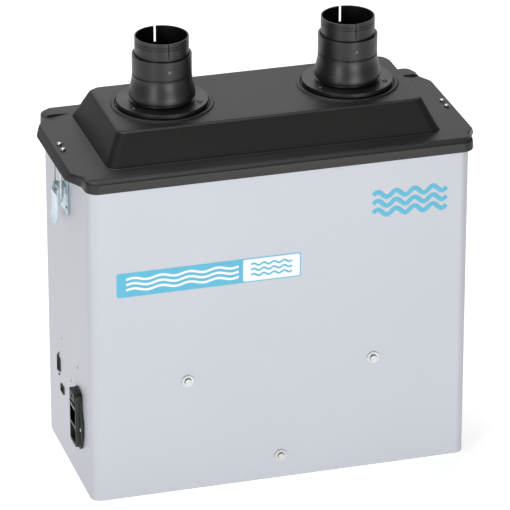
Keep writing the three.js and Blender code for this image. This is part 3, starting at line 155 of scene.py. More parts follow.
class Finish:
    """One material in the making. Values that are the same all over are set on the shader."""

    def __init__(self, name, **constants):
        self.material = bpy.data.materials.new(name)
        self.material.use_nodes = True
        self.tree = self.material.node_tree
        self.shader = self.tree.nodes["Principled BSDF"]
        for label, value in constants.items():
            self.shader.inputs[label.replace("_", " ")].default_value = value
        self.place = self.node("ShaderNodeTexCoord", output="Object")

    def feed(self, value, socket):
        if isinstance(value, Signal):
            self.tree.links.new(value.socket, socket)
        else:
            socket.default_value = value

    def node(self, kind, settings=None, inputs=None, output=0):
        made = self.tree.nodes.new(kind)
        for name, value in (settings or {}).items():
            setattr(made, name, value)
        for key, value in (inputs or {}).items():
            self.feed(value, made.inputs[key])
        return Signal(self, made.outputs[output])

    def noise(self, scale, detail, place=None):
        inputs = {"Vector": place or self.place, "Scale": scale, "Detail": detail}
        return self.node("ShaderNodeTexNoise", None, inputs)

    def cells(self, scale, output=0):
        inputs = {"Vector": self.place, "Scale": scale}
        return self.node("ShaderNodeTexVoronoi", None, inputs, output)

    def stretched(self, x, y, z):
        settings = {"operation": "MULTIPLY"}
        return self.node("ShaderNodeVectorMath", settings, {0: self.place, 1: (x, y, z)})

    def stripes(self, axis, apart, width):
        """One on stripes across an axis and zero between them, from half sizes in millimetres."""
        along = self.node("ShaderNodeSeparateXYZ", None, {0: self.place}, axis) * 1000
        folded = self.node("ShaderNodeMath", {"operation": "PINGPONG"}, {0: along, 1: apart})
        return folded < width

    def between(self, share, low, high):
        inputs = {0: share, 6: (*low, 1), 7: (*high, 1)}
        return self.node("ShaderNodeMix", {"data_type": "RGBA"}, inputs, 2)

    def colour(self, share, low, high):
        self.feed(self.between(share, low, high), self.shader.inputs["Base Color"])

    def roughness(self, value):
        self.feed(value, self.shader.inputs["Roughness"])

    def relief(self, height, depth, strength):
        inputs = {"Strength": strength, "Distance": depth, "Height": height}
        self.feed(self.node("ShaderNodeBump", None, inputs), self.shader.inputs["Normal"])


print("shader helpers ready")

# %% [markdown]
# ## Finishes
# The box is powder coated: a satin silver grey whose skin is very slightly pebbled. The cover and
# the nozzles are black plastic, the cover with a fine leather grain, the nozzles with the faint
# rings of a turned mould. Painted pictures of a surface would blur close up and need unwrapping, so
# each finish is computed, with one scale of variation seen from afar and one close up.


# %% Paint and plastics
def powder_coat():
    made = Finish("powder_coat", Metallic=0.25, Specular_IOR_Level=0.45)
    pebbles = made.noise(650, 2)
    speckle = made.noise(4200, 1)
    cloud = made.noise(7, 2)
    made.colour(0.5 * cloud + 0.5 * speckle, (0.465, 0.482, 0.525), (0.535, 0.552, 0.595))
    made.roughness(0.40 + 0.12 * pebbles)
    made.relief(0.7 * pebbles + 0.3 * speckle, 0.00006, 0.5)
    return made.material


def grained_plastic(name, dark, light, gloss, grain_scale, depth, shine=0.5):
    made = Finish(name, Specular_IOR_Level=shine)
    leather = made.cells(grain_scale)
    fine = made.noise(grain_scale * 2.6, 3)
    cloud = made.noise(14, 3)
    made.colour(0.6 * cloud + 0.4 * fine, dark, light)
    made.roughness(gloss + 0.14 * fine)
    made.relief(leather + 0.5 * fine, depth, 0.55)
    return made.material


def turned_plastic():
    made = Finish("nozzle_black", Specular_IOR_Level=0.5)
    rings = made.noise(900, 2, made.stretched(0.02, 0.02, 1.6))
    fine = made.noise(2600, 2)
    cloud = made.noise(30, 3)
    made.colour(0.7 * cloud + 0.3 * fine, (0.006, 0.006, 0.0058), (0.011, 0.0108, 0.0105))
    made.roughness(0.32 + 0.16 * rings)
    made.relief(0.6 * rings + 0.4 * fine, 0.00006, 0.4)
    return made.material


def printed_film(name, dark, light):
    made = Finish(name, Specular_IOR_Level=0.5)
    fibre = made.noise(1800, 2)
    cloud = made.noise(40, 2)
    made.colour(0.5 * cloud + 0.5 * fibre, dark, light)
    made.roughness(0.34 + 0.1 * fibre)
    made.relief(fibre, 0.00002, 0.3)
    return made.material


# %% [markdown]
# ## Metal finishes
# The latches are zinc-plated and passivated, which leaves a cold blue sheen in clouds. Screws and
# pins are drawn wire, scratched along one way. Galvanised sheet shows crystal flakes, and the motor's
# casting keeps the sand's grain. Stretching one noise or taking flat cells is enough for each.

# %% Metals
def passivated_zinc():
    made = Finish("passivated_zinc", Metallic=1.0)
    cloud = made.noise(95, 4)
    rolled = made.noise(700, 2, made.stretched(1.0, 1.0, 0.06))
    made.colour(cloud ** 1.4, (0.40, 0.52, 0.60), (0.72, 0.80, 0.82))
    made.roughness(0.24 + 0.2 * rolled)
    made.relief(rolled, 0.00003, 0.4)
    return made.material


def drawn_metal(name, dark, light, gloss):
    made = Finish(name, Metallic=1.0)
    cloud = made.noise(220, 3)
    scratch = made.noise(2400, 2, made.stretched(0.1, 1.0, 1.0))
    made.colour(cloud, dark, light)
    made.roughness(gloss + 0.18 * scratch)
    made.relief(scratch, 0.00002, 0.35)
    return made.material


def galvanised_sheet():
    made = Finish("galvanised_sheet", Metallic=1.0)
    spangle = made.cells(120, output="Color")
    grey = made.node("ShaderNodeSeparateColor", None, {0: spangle})
    fine = made.noise(1500, 2)
    made.colour(0.8 * grey + 0.2 * fine, (0.34, 0.36, 0.38), (0.60, 0.62, 0.63))
    made.roughness(0.36 + 0.16 * grey)
    made.relief(fine, 0.00002, 0.3)
    return made.material


def cast_aluminium():
    made = Finish("cast_aluminium", Metallic=1.0)
    sand = made.noise(1300, 4)
    cloud = made.noise(35, 2)
    made.colour(0.5 * sand + 0.5 * cloud, (0.42, 0.43, 0.44), (0.64, 0.65, 0.66))
    made.roughness(0.42 + 0.2 * sand)
    made.relief(sand, 0.00012, 0.6)
    return made.material


# %% [markdown]
# ## Soft and inner materials
# Feet and seals are matt and porous, the mat is needled fleece, the paper has glue beads that keep
# its folds apart, and the carbon is loose grain. They are seen only when the unit is opened, so each
# has a short recipe. The tone of a carbon grain comes from its cell's own random colour.

# %% Rubber, filter media and electronics
def matt_rubber(name, scale):
    made = Finish(name, Specular_IOR_Level=0.3)
    pores = made.cells(scale)
    fine = made.noise(scale * 1.7, 3)
    made.colour(fine, (0.010, 0.010, 0.010), (0.028, 0.028, 0.028))
    made.roughness(0.72 + 0.2 * fine)
    made.relief(pores + 0.4 * fine, 0.00015, 0.6)
    return made.material


def needled_fleece():
    made = Finish("needled_fleece", Specular_IOR_Level=0.15, Sheen_Weight=0.4)
    strands = made.noise(520, 5, made.stretched(1.0, 0.35, 1.0))
    crossed = made.noise(520, 5, made.stretched(0.35, 1.0, 1.0))
    tufts = made.cells(260)
    made.colour(0.5 * strands + 0.5 * crossed, (0.50, 0.50, 0.46), (0.88, 0.88, 0.84))
    made.roughness(0.85 + 0.12 * strands)
    made.relief(strands + crossed + 0.6 * tufts, 0.0005, 0.8)
    return made.material


def pleated_paper():
    made = Finish("pleated_paper", Specular_IOR_Level=0.2)
    fibre = made.noise(900, 5)
    bead = made.stripes("Y", 12.0, 0.9)
    made.colour(0.8 * fibre + 0.2 * bead, (0.62, 0.62, 0.58), (0.90, 0.90, 0.87))
    made.roughness(0.9 - 0.3 * bead)
    made.relief(0.4 * fibre + bead, 0.0003, 0.6)
    return made.material


def carbon_granulate():
    made = Finish("carbon_granulate", Specular_IOR_Level=0.6)
    grains = made.cells(420)
    tone = made.cells(420, output="Color")
    share = made.node("ShaderNodeSeparateColor", None, {0: tone})
    made.colour(share, (0.006, 0.006, 0.007), (0.035, 0.035, 0.037))
    made.roughness(0.45 + 0.4 * share)
    made.relief(1 - grains, 0.0012, 1.0)
    return made.material


def solder_mask():
    made = Finish("solder_mask", Specular_IOR_Level=0.5)
    trace = made.stripes("Z", 2.2, 0.7)
    cloud = made.noise(60, 2)
    made.colour(0.6 * trace + 0.4 * cloud, (0.008, 0.06, 0.03), (0.03, 0.16, 0.08))
    made.roughness(0.3 + 0.1 * cloud)
    made.relief(trace, 0.00005, 0.7)
    return made.material


FINISHES = {
    "grey_paint": powder_coat(),
    "cover_plastic": grained_plastic(
        "cover_black", (0.008, 0.0077, 0.0072), (0.013, 0.0126, 0.0118), 0.40, 900, 0.00009, 0.42),
    "nozzle_plastic": turned_plastic(),
    "zinc_steel": passivated_zinc(),
    "bright_steel": drawn_metal("bright_zinc", (0.50, 0.51, 0.52), (0.70, 0.705, 0.71), 0.22),
    "galvanised_steel": galvanised_sheet(),
    "motor_casting": cast_aluminium(),
    "foot_rubber": matt_rubber("foot_rubber", 1100),
    "seal_foam": matt_rubber("seal_foam", 620),
    "scroll_plastic": grained_plastic(
        "scroll_black", (0.012, 0.012, 0.012), (0.026, 0.026, 0.026), 0.42, 700, 0.0001),
    "impeller_plastic": grained_plastic(
        "glass_filled_grey", (0.05, 0.05, 0.055), (0.12, 0.12, 0.125), 0.48, 800, 0.00008),
    "inlet_plastic": grained_plastic(
        "inlet_black", (0.010, 0.0105, 0.011), (0.018, 0.0185, 0.019), 0.40, 1500, 0.00003),
    "rocker_plastic": grained_plastic(
        "rocker_grey", (0.10, 0.105, 0.112), (0.145, 0.152, 0.16), 0.38, 1800, 0.00002),
    "contact_brass": drawn_metal("nickelled_brass", (0.66, 0.62, 0.52), (0.86, 0.83, 0.76), 0.15),
    "board_green": solder_mask(),
    "cassette_plastic": grained_plastic(
        "cassette_grey", (0.10, 0.105, 0.11), (0.17, 0.175, 0.18), 0.45, 900, 0.00008),
    "carbon_granulate": carbon_granulate(),
    "filter_paper": pleated_paper(),
    "filter_fleece": needled_fleece(),
}
DULL_ZINC = drawn_metal("dull_zinc", (0.19, 0.205, 0.22), (0.33, 0.35, 0.37), 0.42)
BLACKENED = drawn_metal("blackened_steel", (0.05, 0.05, 0.055), (0.16, 0.16, 0.165), 0.24)
FILM_BLUE = printed_film("film_blue", (0.075, 0.42, 0.60), (0.10, 0.47, 0.65))
FILM_WHITE = printed_film("film_white", (0.78, 0.79, 0.80), (0.88, 0.89, 0.90))
print("finishes:", ", ".join(sorted(FINISHES)))

# %% [markdown]
# ## Smoothing a machined shape
# The frame's parts have the right size but sharp edges, and real edges always catch a little light.
# Subdividing them would swell the flat walls. So a copy of a part is welded, its flat faces are
# joined, and a narrow bevel rounds every edge that is sharper than the limit. Weighted normals keep
# the large faces flat while the arcs shade round.


# %% Mesh helpers
EDGE_LIMIT = math.radians(50)
EDGE_SEGMENTS = 2
FLAT_ANGLE = math.radians(0.5)
WELD_DISTANCE = 1e-6


def show(name, mesh, body, finish, replaces=()):
    """Puts a finished mesh into the scene on its body."""
    made = bpy.data.objects.new(name, mesh)
    bpy.context.scene.collection.objects.link(made)
    mesh.materials.clear()
    mesh.materials.append(finish)
    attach(made, body)
    if replaces:
        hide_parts(*replaces)
    return made


def mesh_from(name, vertices, faces, smooth=True):
    mesh = bpy.data.meshes.new(name)
    mesh.from_pydata(vertices, [], faces)
    shell = bmesh.new()
    shell.from_mesh(mesh)
    bmesh.ops.recalc_face_normals(shell, faces=shell.faces)
    shell.to_mesh(mesh)
    shell.free()
    mesh.polygons.foreach_set("use_smooth", [smooth] * len(mesh.polygons))
    return mesh


def soften(made, width):
    """Rounds the edges of a piece and keeps its flat faces flat."""
    if width:
        bevel = made.modifiers.new("rounded_edges", "BEVEL")
        bevel.width = width
        bevel.segments = EDGE_SEGMENTS
        bevel.limit_method = "ANGLE"
        bevel.angle_limit = EDGE_LIMIT
        bevel.use_clamp_overlap = False
        bevel.miter_outer = "MITER_ARC"
    normals = made.modifiers.new("flat_faces", "WEIGHTED_NORMAL")
    normals.keep_sharp = True


def welded_copy(node):
    """A copy of a part's mesh, with shared corners and one face to each flat."""
    shell = bmesh.new()
    shell.from_mesh(frame["nodes"][node].data)
    bmesh.ops.remove_doubles(shell, verts=shell.verts, dist=WELD_DISTANCE)
    bmesh.ops.dissolve_limit(shell, angle_limit=FLAT_ANGLE, verts=shell.verts, edges=shell.edges)
    mesh = bpy.data.meshes.new(node + "_finished")
    shell.to_mesh(mesh)
    shell.free()
    mesh.polygons.foreach_set("use_smooth", [True] * len(mesh.polygons))
    return mesh


def finish_part(node, width):
    slot = SLOT_OF[node]
    finish = BLACKENED if node.startswith("set_screw") else FINISHES[slot]
    made = show(node + "_finished", welded_copy(node), BODY_OF[node], finish, [node])
    soften(made, width * MM)


def mirror_pair(base):
    return [f"{base}_{hand}" for hand in ("left", "right")]


print("mesh helpers ready")

# %% [markdown]
# ## The steel parts and mouldings
# The casing is folded sheet, the cover and the inlet are mouldings, and the blower is bolted from
# both. Most of them only need their edges softened: 0.3 mm on sheet metal, more on mouldings, and
# hardly any on the thin latch parts. A table of widths keeps each part to one entry.

# %% Parts that only need softer edges
EDGE_WIDTHS = {
    "housing_shell": 0.35, "base_plate": 0.3, "filter_deck": 0.3, "exhaust_grille": 0.35,
    "blower_bracket": 0.3, "blower_motor": 0.6, "volute_housing": 0.5, "volute_inlet_plate": 0.4,
    "impeller": 0.3, "motor_shaft": 0.3, "control_board": 0.2, "power_supply": 0.4,
    "inlet_body": 0.55, "rocker_switch": 0.5, "fuse_drawer": 0.4, "dsub_connector": 0.15,
    "interface_jack": 0.15, "filter_seal": 0.6, "filter_frame": 0.5, "carbon_bed": 0.8,
    "prefilter_mat": 2.0, "cover_gasket": 0.4, "cover": 1.1,
}
EDGE_WIDTHS.update({f"rubber_foot_{i}": 0.5 for i in (1, 2, 3, 4)})
EDGE_WIDTHS.update({f"front_washer_{i}": 0.25 for i in (1, 2, 3)})
EDGE_WIDTHS.update({f"inlet_pin_{i}": 0.3 for i in (1, 2, 3)})
for base, width in {
    "nozzle_gasket": 0.3, "keeper": 0.25, "latch_base": 0.22, "latch_pin": 0.25,
    "latch_lever": 0.25, "latch_bail": 0.0, "set_screw": 0.2,
}.items():
    EDGE_WIDTHS.update({node: width for node in mirror_pair(base)})
for i in (1, 2):
    EDGE_WIDTHS.update({f"{node}_{i}": 0.3 for node in mirror_pair("keeper_screw")})
for node, width in EDGE_WIDTHS.items():
    finish_part(node, width)
print("softened parts:", len(EDGE_WIDTHS))

# %% [markdown]
# ## Nozzles and hose rings
# A nozzle is a turned form: a flange, a narrow neck, a bell that draws in like a chimney pot, and a
# collar. It could be stacked from cylinders, but the bell's curve would show steps. So only its half
# section is drawn, as radius and height, its corners are eased with small curves, and the section is
# swept once round. The hose ring above it is a thin tube with a slit behind and a fine seam in front.


# %% Turned pieces
ROUND_SIDES = 96
BELL_STEPS = 10


def eased(corners, radius, steps=3):
    """Rounds each corner of a closed outline with a small curve."""
    outline = []
    for i, corner in enumerate(corners):
        here = Vector(corner)
        before = Vector(corners[i - 1]) - here
        after = Vector(corners[(i + 1) % len(corners)]) - here
        start = here + before.normalized() * min(radius, 0.4 * before.length)
        end = here + after.normalized() * min(radius, 0.4 * after.length)
        for step in range(steps + 1):
            t = step / steps
            outline.append(start * (1 - t) ** 2 + here * (2 * t * (1 - t)) + end * t ** 2)
    return outline


def turned(name, outline, centre_x):
    """Sweeps a closed outline of radius and height once round a vertical axis."""
    vertices = []
    for side in range(ROUND_SIDES):
        angle = 2 * math.pi * side / ROUND_SIDES
        across, deep = math.cos(angle), math.sin(angle)
        vertices += [(centre_x + radius * across, radius * deep, height) for radius, height in outline]
    count = len(outline)
    faces = []
    for side in range(ROUND_SIDES):
        here, there = side * count, ((side + 1) % ROUND_SIDES) * count
        for i in range(count):
            j = (i + 1) % count
            faces.append((here + i, there + i, there + j, here + j))
    return mesh_from(name, vertices, faces)


NOZZLE_BORE = 28 * MM
SPIGOT_RADIUS = 31.7 * MM
NECK_RADIUS = 33 * MM
BELL_RADIUS = 36.3 * MM
COLLAR_RADIUS = 32.5 * MM
RING_RADIUS = 29.5 * MM
RING_WALL = 1.6 * MM
SPIGOT_DROP = 10.1 * MM
FLANGE_THICKNESS = 4.2 * MM
NECK_HEIGHT = 4 * MM
BELL_HEIGHT = 27 * MM
SHOULDER_HEIGHT = 1.2 * MM
RING_SEATING = 24.3 * MM
RING_CLEARANCE = 0.3 * MM
COLLAR_GROOVE = 0.7 * MM
RING_GROOVE = 0.35 * MM
RING_GROOVE_DROPS = (7.5 * MM, 4.5 * MM)


def nozzle_section(low, high, flange_radius):
    """Half section of a nozzle, from its lowest and highest level."""
    flange = low + SPIGOT_DROP
    neck = flange + FLANGE_THICKNESS
    bell = neck + NECK_HEIGHT
    collar = bell + BELL_HEIGHT
    ring = high - RING_SEATING
    bore = RING_RADIUS + RING_CLEARANCE
    base = [(NOZZLE_BORE, low), (SPIGOT_RADIUS, low), (SPIGOT_RADIUS, flange), (flange_radius, flange)]
    base += [(flange_radius, neck), (NECK_RADIUS + 1.5 * MM, neck), (NECK_RADIUS, neck + 0.8 * MM)]
    base += [(NECK_RADIUS, bell), (BELL_RADIUS - 0.6 * MM, bell), (BELL_RADIUS, bell + SHOULDER_HEIGHT)]
    for i in range(1, BELL_STEPS + 1):
        t = i / BELL_STEPS
        ease = t * t * (3 - 2 * t)
        radius = BELL_RADIUS + (COLLAR_RADIUS - BELL_RADIUS) * ease
        base.append((radius, bell + SHOULDER_HEIGHT + (BELL_HEIGHT - SHOULDER_HEIGHT - MM) * t))
    groove = COLLAR_RADIUS - COLLAR_GROOVE
    base += [(groove, collar - 0.5 * MM), (groove, collar + 0.5 * MM), (COLLAR_RADIUS, collar + 0.9 * MM)]
    base += [(COLLAR_RADIUS, high), (bore, high), (bore, ring), (NOZZLE_BORE, ring)]
    return base


def ring_section(low, high):
    """Half section of a hose ring, with two fine grooves near its top."""
    inner = RING_RADIUS - RING_WALL
    groove = RING_RADIUS - RING_GROOVE
    outside = [(inner, low), (RING_RADIUS, low)]
    for drop in RING_GROOVE_DROPS:
        middle = high - drop
        outside += [(RING_RADIUS, middle - 0.5 * MM), (groove, middle - 0.3 * MM)]
        outside += [(groove, middle + 0.3 * MM), (RING_RADIUS, middle + 0.5 * MM)]
    return [*outside, (RING_RADIUS, high), (inner, high)]


def cut_by_box(made, low, high):
    """Cuts a box out of a piece and keeps the result as its mesh."""
    xs, ys, zs = zip(low, high)
    corners = [(x, y, z) for x in xs for y in ys for z in zs]
    faces = [(0, 1, 3, 2), (4, 6, 7, 5), (0, 4, 5, 1), (2, 3, 7, 6), (0, 2, 6, 4), (1, 5, 7, 3)]
    cutter = bpy.data.objects.new("cutter", mesh_from("cutter", corners, faces, False))
    bpy.context.scene.collection.objects.link(cutter)
    modifier = made.modifiers.new("cut", "BOOLEAN")
    modifier.operation = "DIFFERENCE"
    modifier.solver = "EXACT"
    modifier.object = cutter
    depsgraph = bpy.context.evaluated_depsgraph_get()
    mesh = bpy.data.meshes.new_from_object(made.evaluated_get(depsgraph))
    made.modifiers.remove(modifier)
    made.data = mesh
    bpy.data.objects.remove(cutter)


SLIT_WIDTH = 2.5 * MM
SEAM_WIDTH = 0.9 * MM
SLIT_REACH = 40 * MM
SLIT_START = 1.5 * MM
for hand in ("left", "right"):
    low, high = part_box(f"nozzle_{hand}")
    centre_x = (low.x + high.x) / 2
    section = eased(nozzle_section(low.z, high.z, (high.x - low.x) / 2), 0.5 * MM)
    nozzle = show(f"nozzle_{hand}_turned", turned("nozzle", section, centre_x), "cover",
                  FINISHES["nozzle_plastic"], [f"nozzle_{hand}"])
    soften(nozzle, 0)
    ring_low, ring_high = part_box(f"hose_ring_{hand}")
    section = eased(ring_section(ring_low.z, ring_high.z), 0.3 * MM)
    ring = show(f"hose_ring_{hand}_turned", turned("ring", section, centre_x), "cover",
                FINISHES["nozzle_plastic"], [f"hose_ring_{hand}"])
    for half, near, far in ((SLIT_WIDTH / 2, 0, SLIT_REACH), (SEAM_WIDTH / 2, -SLIT_REACH, 0)):
        corner = (centre_x - half, near, high.z + SLIT_START)
        cut_by_box(ring, corner, (centre_x + half, far, ring_high.z + MM))
    soften(ring, 0)
    print(f"nozzle {hand}: {len(nozzle.data.vertices)} points, ring {len(ring.data.vertices)}")

# %% [markdown]
# ## Screws and rivets
# The same small head turns up all over the unit. Copying an object for each would leave many to keep
# alike, so it is a recipe in Geometry Nodes: a domed head with a cross recess is made once, and a
# copy is set on every point of a small cloud, turned to the direction that the point stores.


# %% Recipe helpers
class Recipe:
    """A Geometry Nodes tree in the making, with named sizes."""

    SOCKETS = {int: "NodeSocketInt", float: "NodeSocketFloat", tuple: "NodeSocketVector"}

    def __init__(self, name, **sizes):
        self.tree = bpy.data.node_groups.new(name, "GeometryNodeTree")
        face = self.tree.interface
        face.new_socket("Geometry", in_out="INPUT", socket_type="NodeSocketGeometry")
        for label, value in sizes.items():
            socket = face.new_socket(label, in_out="INPUT", socket_type=self.SOCKETS[type(value)])
            socket.default_value = value
        face.new_socket("Geometry", in_out="OUTPUT", socket_type="NodeSocketGeometry")
        self.start = self.tree.nodes.new("NodeGroupInput")
        self.end = self.tree.nodes.new("NodeGroupOutput")

    def size(self, label):
        return self.start.outputs[label]

    def node(self, kind, settings=None, inputs=None, output=0):
        made = self.tree.nodes.new(kind)
        for name, value in (settings or {}).items():
            setattr(made, name, value)
        for key, value in (inputs or {}).items():
            for one in value if isinstance(value, list) else [value]:
                if isinstance(one, bpy.types.NodeSocket):
                    self.tree.links.new(one, made.inputs[key])
                else:
                    made.inputs[key].default_value = one
        return made.outputs[output]

    def maths(self, operation, first, second=0.0):
        return self.node("ShaderNodeMath", {"operation": operation}, {0: first, 1: second})

    def turn_to_facing(self):
        """The turn from upright to the direction that each point stores."""
        stored = self.node("GeometryNodeInputNamedAttribute", {"data_type": "FLOAT_VECTOR"},
                           {"Name": "facing"})
        return self.node("FunctionNodeAlignRotationToVector", {"axis": "Z"}, {"Vector": stored})

    def finish_with(self, instances, finish):
        whole = self.node("GeometryNodeRealizeInstances", None, {"Geometry": instances})
        coated = self.node("GeometryNodeSetMaterial", None, {"Geometry": whole, "Material": finish})
        self.tree.links.new(coated, self.end.inputs["Geometry"])


def grow(name, recipe, points=((0, 0, 0),), facings=None, **sizes):
    """Runs a recipe on a cloud of points and returns its result as a plain mesh."""
    cloud = bpy.data.meshes.new(name + "_points")
    cloud.from_pydata([tuple(point) for point in points], [], [])
    if facings:
        stored = cloud.attributes.new("facing", "FLOAT_VECTOR", "POINT")
        stored.data.foreach_set("vector", [part for facing in facings for part in facing])
    holder = bpy.data.objects.new(name + "_holder", cloud)
    bpy.context.scene.collection.objects.link(holder)
    modifier = holder.modifiers.new("recipe", "NODES")
    modifier.node_group = recipe.tree
    sockets = [item for item in recipe.tree.interface.items_tree if item.in_out == "INPUT"]
    for item in sockets:
        if item.name in sizes:
            modifier[item.identifier] = sizes[item.name]
    depsgraph = bpy.context.evaluated_depsgraph_get()
    mesh = bpy.data.meshes.new_from_object(holder.evaluated_get(depsgraph))
    bpy.data.objects.remove(holder)
    return mesh


# %% [markdown]
# ## One head for every screw
# A real head is pressed, with a low dome and a cross driven into it. The recipe squashes a ball's
# upper half into the dome and cuts the cross with two bars. A ball and bars stay editable by size,
# which a modelled head would not.

# %% Screw head recipe
def screw_recipe(finish):
    made = Recipe("screw_heads", Radius=3.0 * MM, Height=2.0 * MM, Recess=0.9)
    dome = made.node("GeometryNodeMeshUVSphere", None, {"Segments": 24, "Rings": 12, "Radius": 1.0})
    place = made.node("GeometryNodeInputPosition")
    x, y, z = (made.node("ShaderNodeSeparateXYZ", None, {0: place}, axis) for axis in ("X", "Y", "Z"))
    rise = made.maths("POWER", made.maths("MAXIMUM", z, 0.0), 0.6)
    shape = made.node("ShaderNodeCombineXYZ", None, {
        "X": made.maths("MULTIPLY", x, made.size("Radius")),
        "Y": made.maths("MULTIPLY", y, made.size("Radius")),
        "Z": made.maths("MULTIPLY", rise, made.size("Height")),
    })
    head = made.node("GeometryNodeSetPosition", None, {"Geometry": dome, "Position": shape})
    length = made.maths("MULTIPLY", made.size("Radius"), made.size("Recess"))
    width = made.maths("MULTIPLY", length, 0.22)
    depth = made.maths("MULTIPLY", made.size("Height"), 1.2)
    lift = made.node("ShaderNodeCombineXYZ", None, {"Z": made.size("Height")})
    bars = []
    for sizes in ({"X": length, "Y": width, "Z": depth}, {"X": width, "Y": length, "Z": depth}):
        size = made.node("ShaderNodeCombineXYZ", None, sizes)
        bar = made.node("GeometryNodeMeshCube", None, {"Size": size})
        bars.append(made.node("GeometryNodeTransform", None, {"Geometry": bar, "Translation": lift}))
    crossed = made.node("GeometryNodeMeshBoolean", {"operation": "DIFFERENCE", "solver": "EXACT"},
                        {"Mesh 1": head, "Mesh 2": bars})
    turn = made.turn_to_facing()
    copies = made.node("GeometryNodeInstanceOnPoints", None,
                       {"Points": made.size("Geometry"), "Instance": crossed, "Rotation": turn})
    made.finish_with(copies, finish)
    return made


HEADS = screw_recipe(FINISHES["bright_steel"])


HEAD_SIZES = {
    # radius and height in millimetres, and the recess as a share of the radius
    "nozzle_flange": (2.7, 1.3, 1.1),
    "front": (4.2, 1.5, 1.3),
    "inlet_ear": (2.3, 0.9, 1.1),
    "side_wall": (2.2, 0.9, 1.1),
    "socket_post": (1.5, 1.2, 0.9),
    "latch_rivet": (2.2, 1.0, 0.2),
}
TOWARDS = {"up": (0, 0, 1), "front": (0, -1, 0), "left": (-1, 0, 0), "right": (1, 0, 0)}


def screws(name, body, places, towards, size, finish=FINISHES["bright_steel"]):
    radius, height, recess = HEAD_SIZES[size]
    facings = [TOWARDS[towards]] * len(places)
    mesh = grow(name, HEADS, places, facings, Radius=radius * MM, Height=height * MM, Recess=recess)
    show(name, mesh, body, finish)
    print(f"{name}: {len(places)} heads, {len(mesh.polygons)} faces")


# %% [markdown]
# ## Where the screws sit
# Three screws hold each nozzle's flange, three close the front, and small ones hold the inlet, the
# signal socket and what is behind the left wall. Their places are worked out from the parts that
# they hold, so they follow if a part moves.

# %% Screws of the cover, the front and the left wall
shell_low, shell_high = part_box("housing_shell")
inlet_low, inlet_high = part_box("inlet_body")
dsub_low, dsub_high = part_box("dsub_connector")
jack_low, jack_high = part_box("interface_jack")
FLANGE_SCREW_CIRCLE = 42 * MM
FLANGE_SCREW_ANGLES = [math.radians(angle) for angle in (90, 210, 330)]
EAR_PROUD = 3.5 * MM
EAR_DROP = 8 * MM
EAR_SPREAD = 16.5 * MM
WALL_SCREWS = [(31.6 * MM, 142.7 * MM), (-40.7 * MM, 140.3 * MM), (-9.4 * MM, 109.4 * MM)]
POST_SPREAD = 13 * MM
LATCH_SHEET = 1.6 * MM
RIVET_SPREAD = 10 * MM
RIVET_HEIGHT = 6 * MM
for hand in ("left", "right"):
    low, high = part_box(f"nozzle_{hand}")
    seat = low.z + SPIGOT_DROP + FLANGE_THICKNESS
    centre_x = (low.x + high.x) / 2
    ring = [(math.cos(angle), math.sin(angle)) for angle in FLANGE_SCREW_ANGLES]
    places = [(centre_x + FLANGE_SCREW_CIRCLE * x, FLANGE_SCREW_CIRCLE * y, seat) for x, y in ring]
    screws(f"flange_screws_{hand}", "cover", places, "up", "nozzle_flange", BLACKENED)

front_heads = []
for i in (1, 2, 3):
    low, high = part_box(f"front_screw_{i}")
    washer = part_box(f"front_washer_{i}")[0]
    front_heads.append(((low.x + high.x) / 2, washer.y, (low.z + high.z) / 2))
screws("front_screw_heads", "housing", front_heads, "front", "front", DULL_ZINC)
for i in (1, 2, 3):
    finish_part(f"front_screw_{i}", 0.2)

wall_x = shell_low.x
ear_z = (inlet_low.z + inlet_high.z) / 2 - EAR_DROP
inlet_y = (inlet_low.y + inlet_high.y) / 2
ears = [(wall_x - EAR_PROUD, inlet_y + side * EAR_SPREAD, ear_z) for side in (-1, 1)]
screws("inlet_ear_screws", "housing", ears, "left", "inlet_ear")
places = [(wall_x, y, z) for y, z in WALL_SCREWS]
screws("side_wall_screws", "housing", places, "left", "side_wall")
dsub_middle = (dsub_low + dsub_high) / 2
posts = [(wall_x, dsub_middle.y, dsub_middle.z + side * POST_SPREAD) for side in (-1, 1)]
screws("signal_socket_posts", "housing", posts, "left", "socket_post", BLACKENED)
for hand, side in (("left", -1), ("right", 1)):
    base_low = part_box(f"latch_base_{hand}")[0]
    face_x = side * (shell_high.x + LATCH_SHEET)
    rivets = [(face_x, y, base_low.z + RIVET_HEIGHT) for y in (-RIVET_SPREAD, RIVET_SPREAD)]
    screws(f"latch_rivets_{hand}", "housing", rivets, hand, "latch_rivet")

# %% [markdown]
# ## Contact pins
# The signal sockets hold rows of small nickelled contacts. Drawn on the wall they would look flat, so
# they are real pins: one is made by a recipe and set on each point of a small grid.


# %% Contact pins
def pin_recipe(finish):
    made = Recipe("contact_pins", Radius=0.5 * MM, Length=5.0 * MM)
    sizes = {"Vertices": 10, "Radius": made.size("Radius"), "Depth": made.size("Length")}
    pin = made.node("GeometryNodeMeshCylinder", None, sizes)
    turn = made.turn_to_facing()
    copies = made.node("GeometryNodeInstanceOnPoints", None,
                       {"Points": made.size("Geometry"), "Instance": pin, "Rotation": turn})
    made.finish_with(copies, finish)
    return made


CONTACTS = FINISHES["contact_brass"]
PINS = pin_recipe(CONTACTS)
PIN_DEPTH = 4.8 * MM
PIN_LENGTH = 6.0 * MM
SIGNAL_PITCH = 2.76 * MM
SIGNAL_ROW = 1.4 * MM
JACK_PITCH = 1.25 * MM
JACK_ROW = 1.6 * MM
pin_x = wall_x + PIN_DEPTH
jack_middle = (jack_low + jack_high) / 2


def contacts(name, centre, offsets, radius):
    """Sets a pin on each offset from the middle of a socket, pointing into the unit."""
    places = [(pin_x, centre.y + y, centre.z + z) for y, z in offsets]
    facings = [TOWARDS["right"]] * len(places)
    mesh = grow(name, PINS, places, facings, Radius=radius, Length=PIN_LENGTH)
    show(name, mesh, "housing", CONTACTS)
    print(f"{name}: {len(places)} contacts")


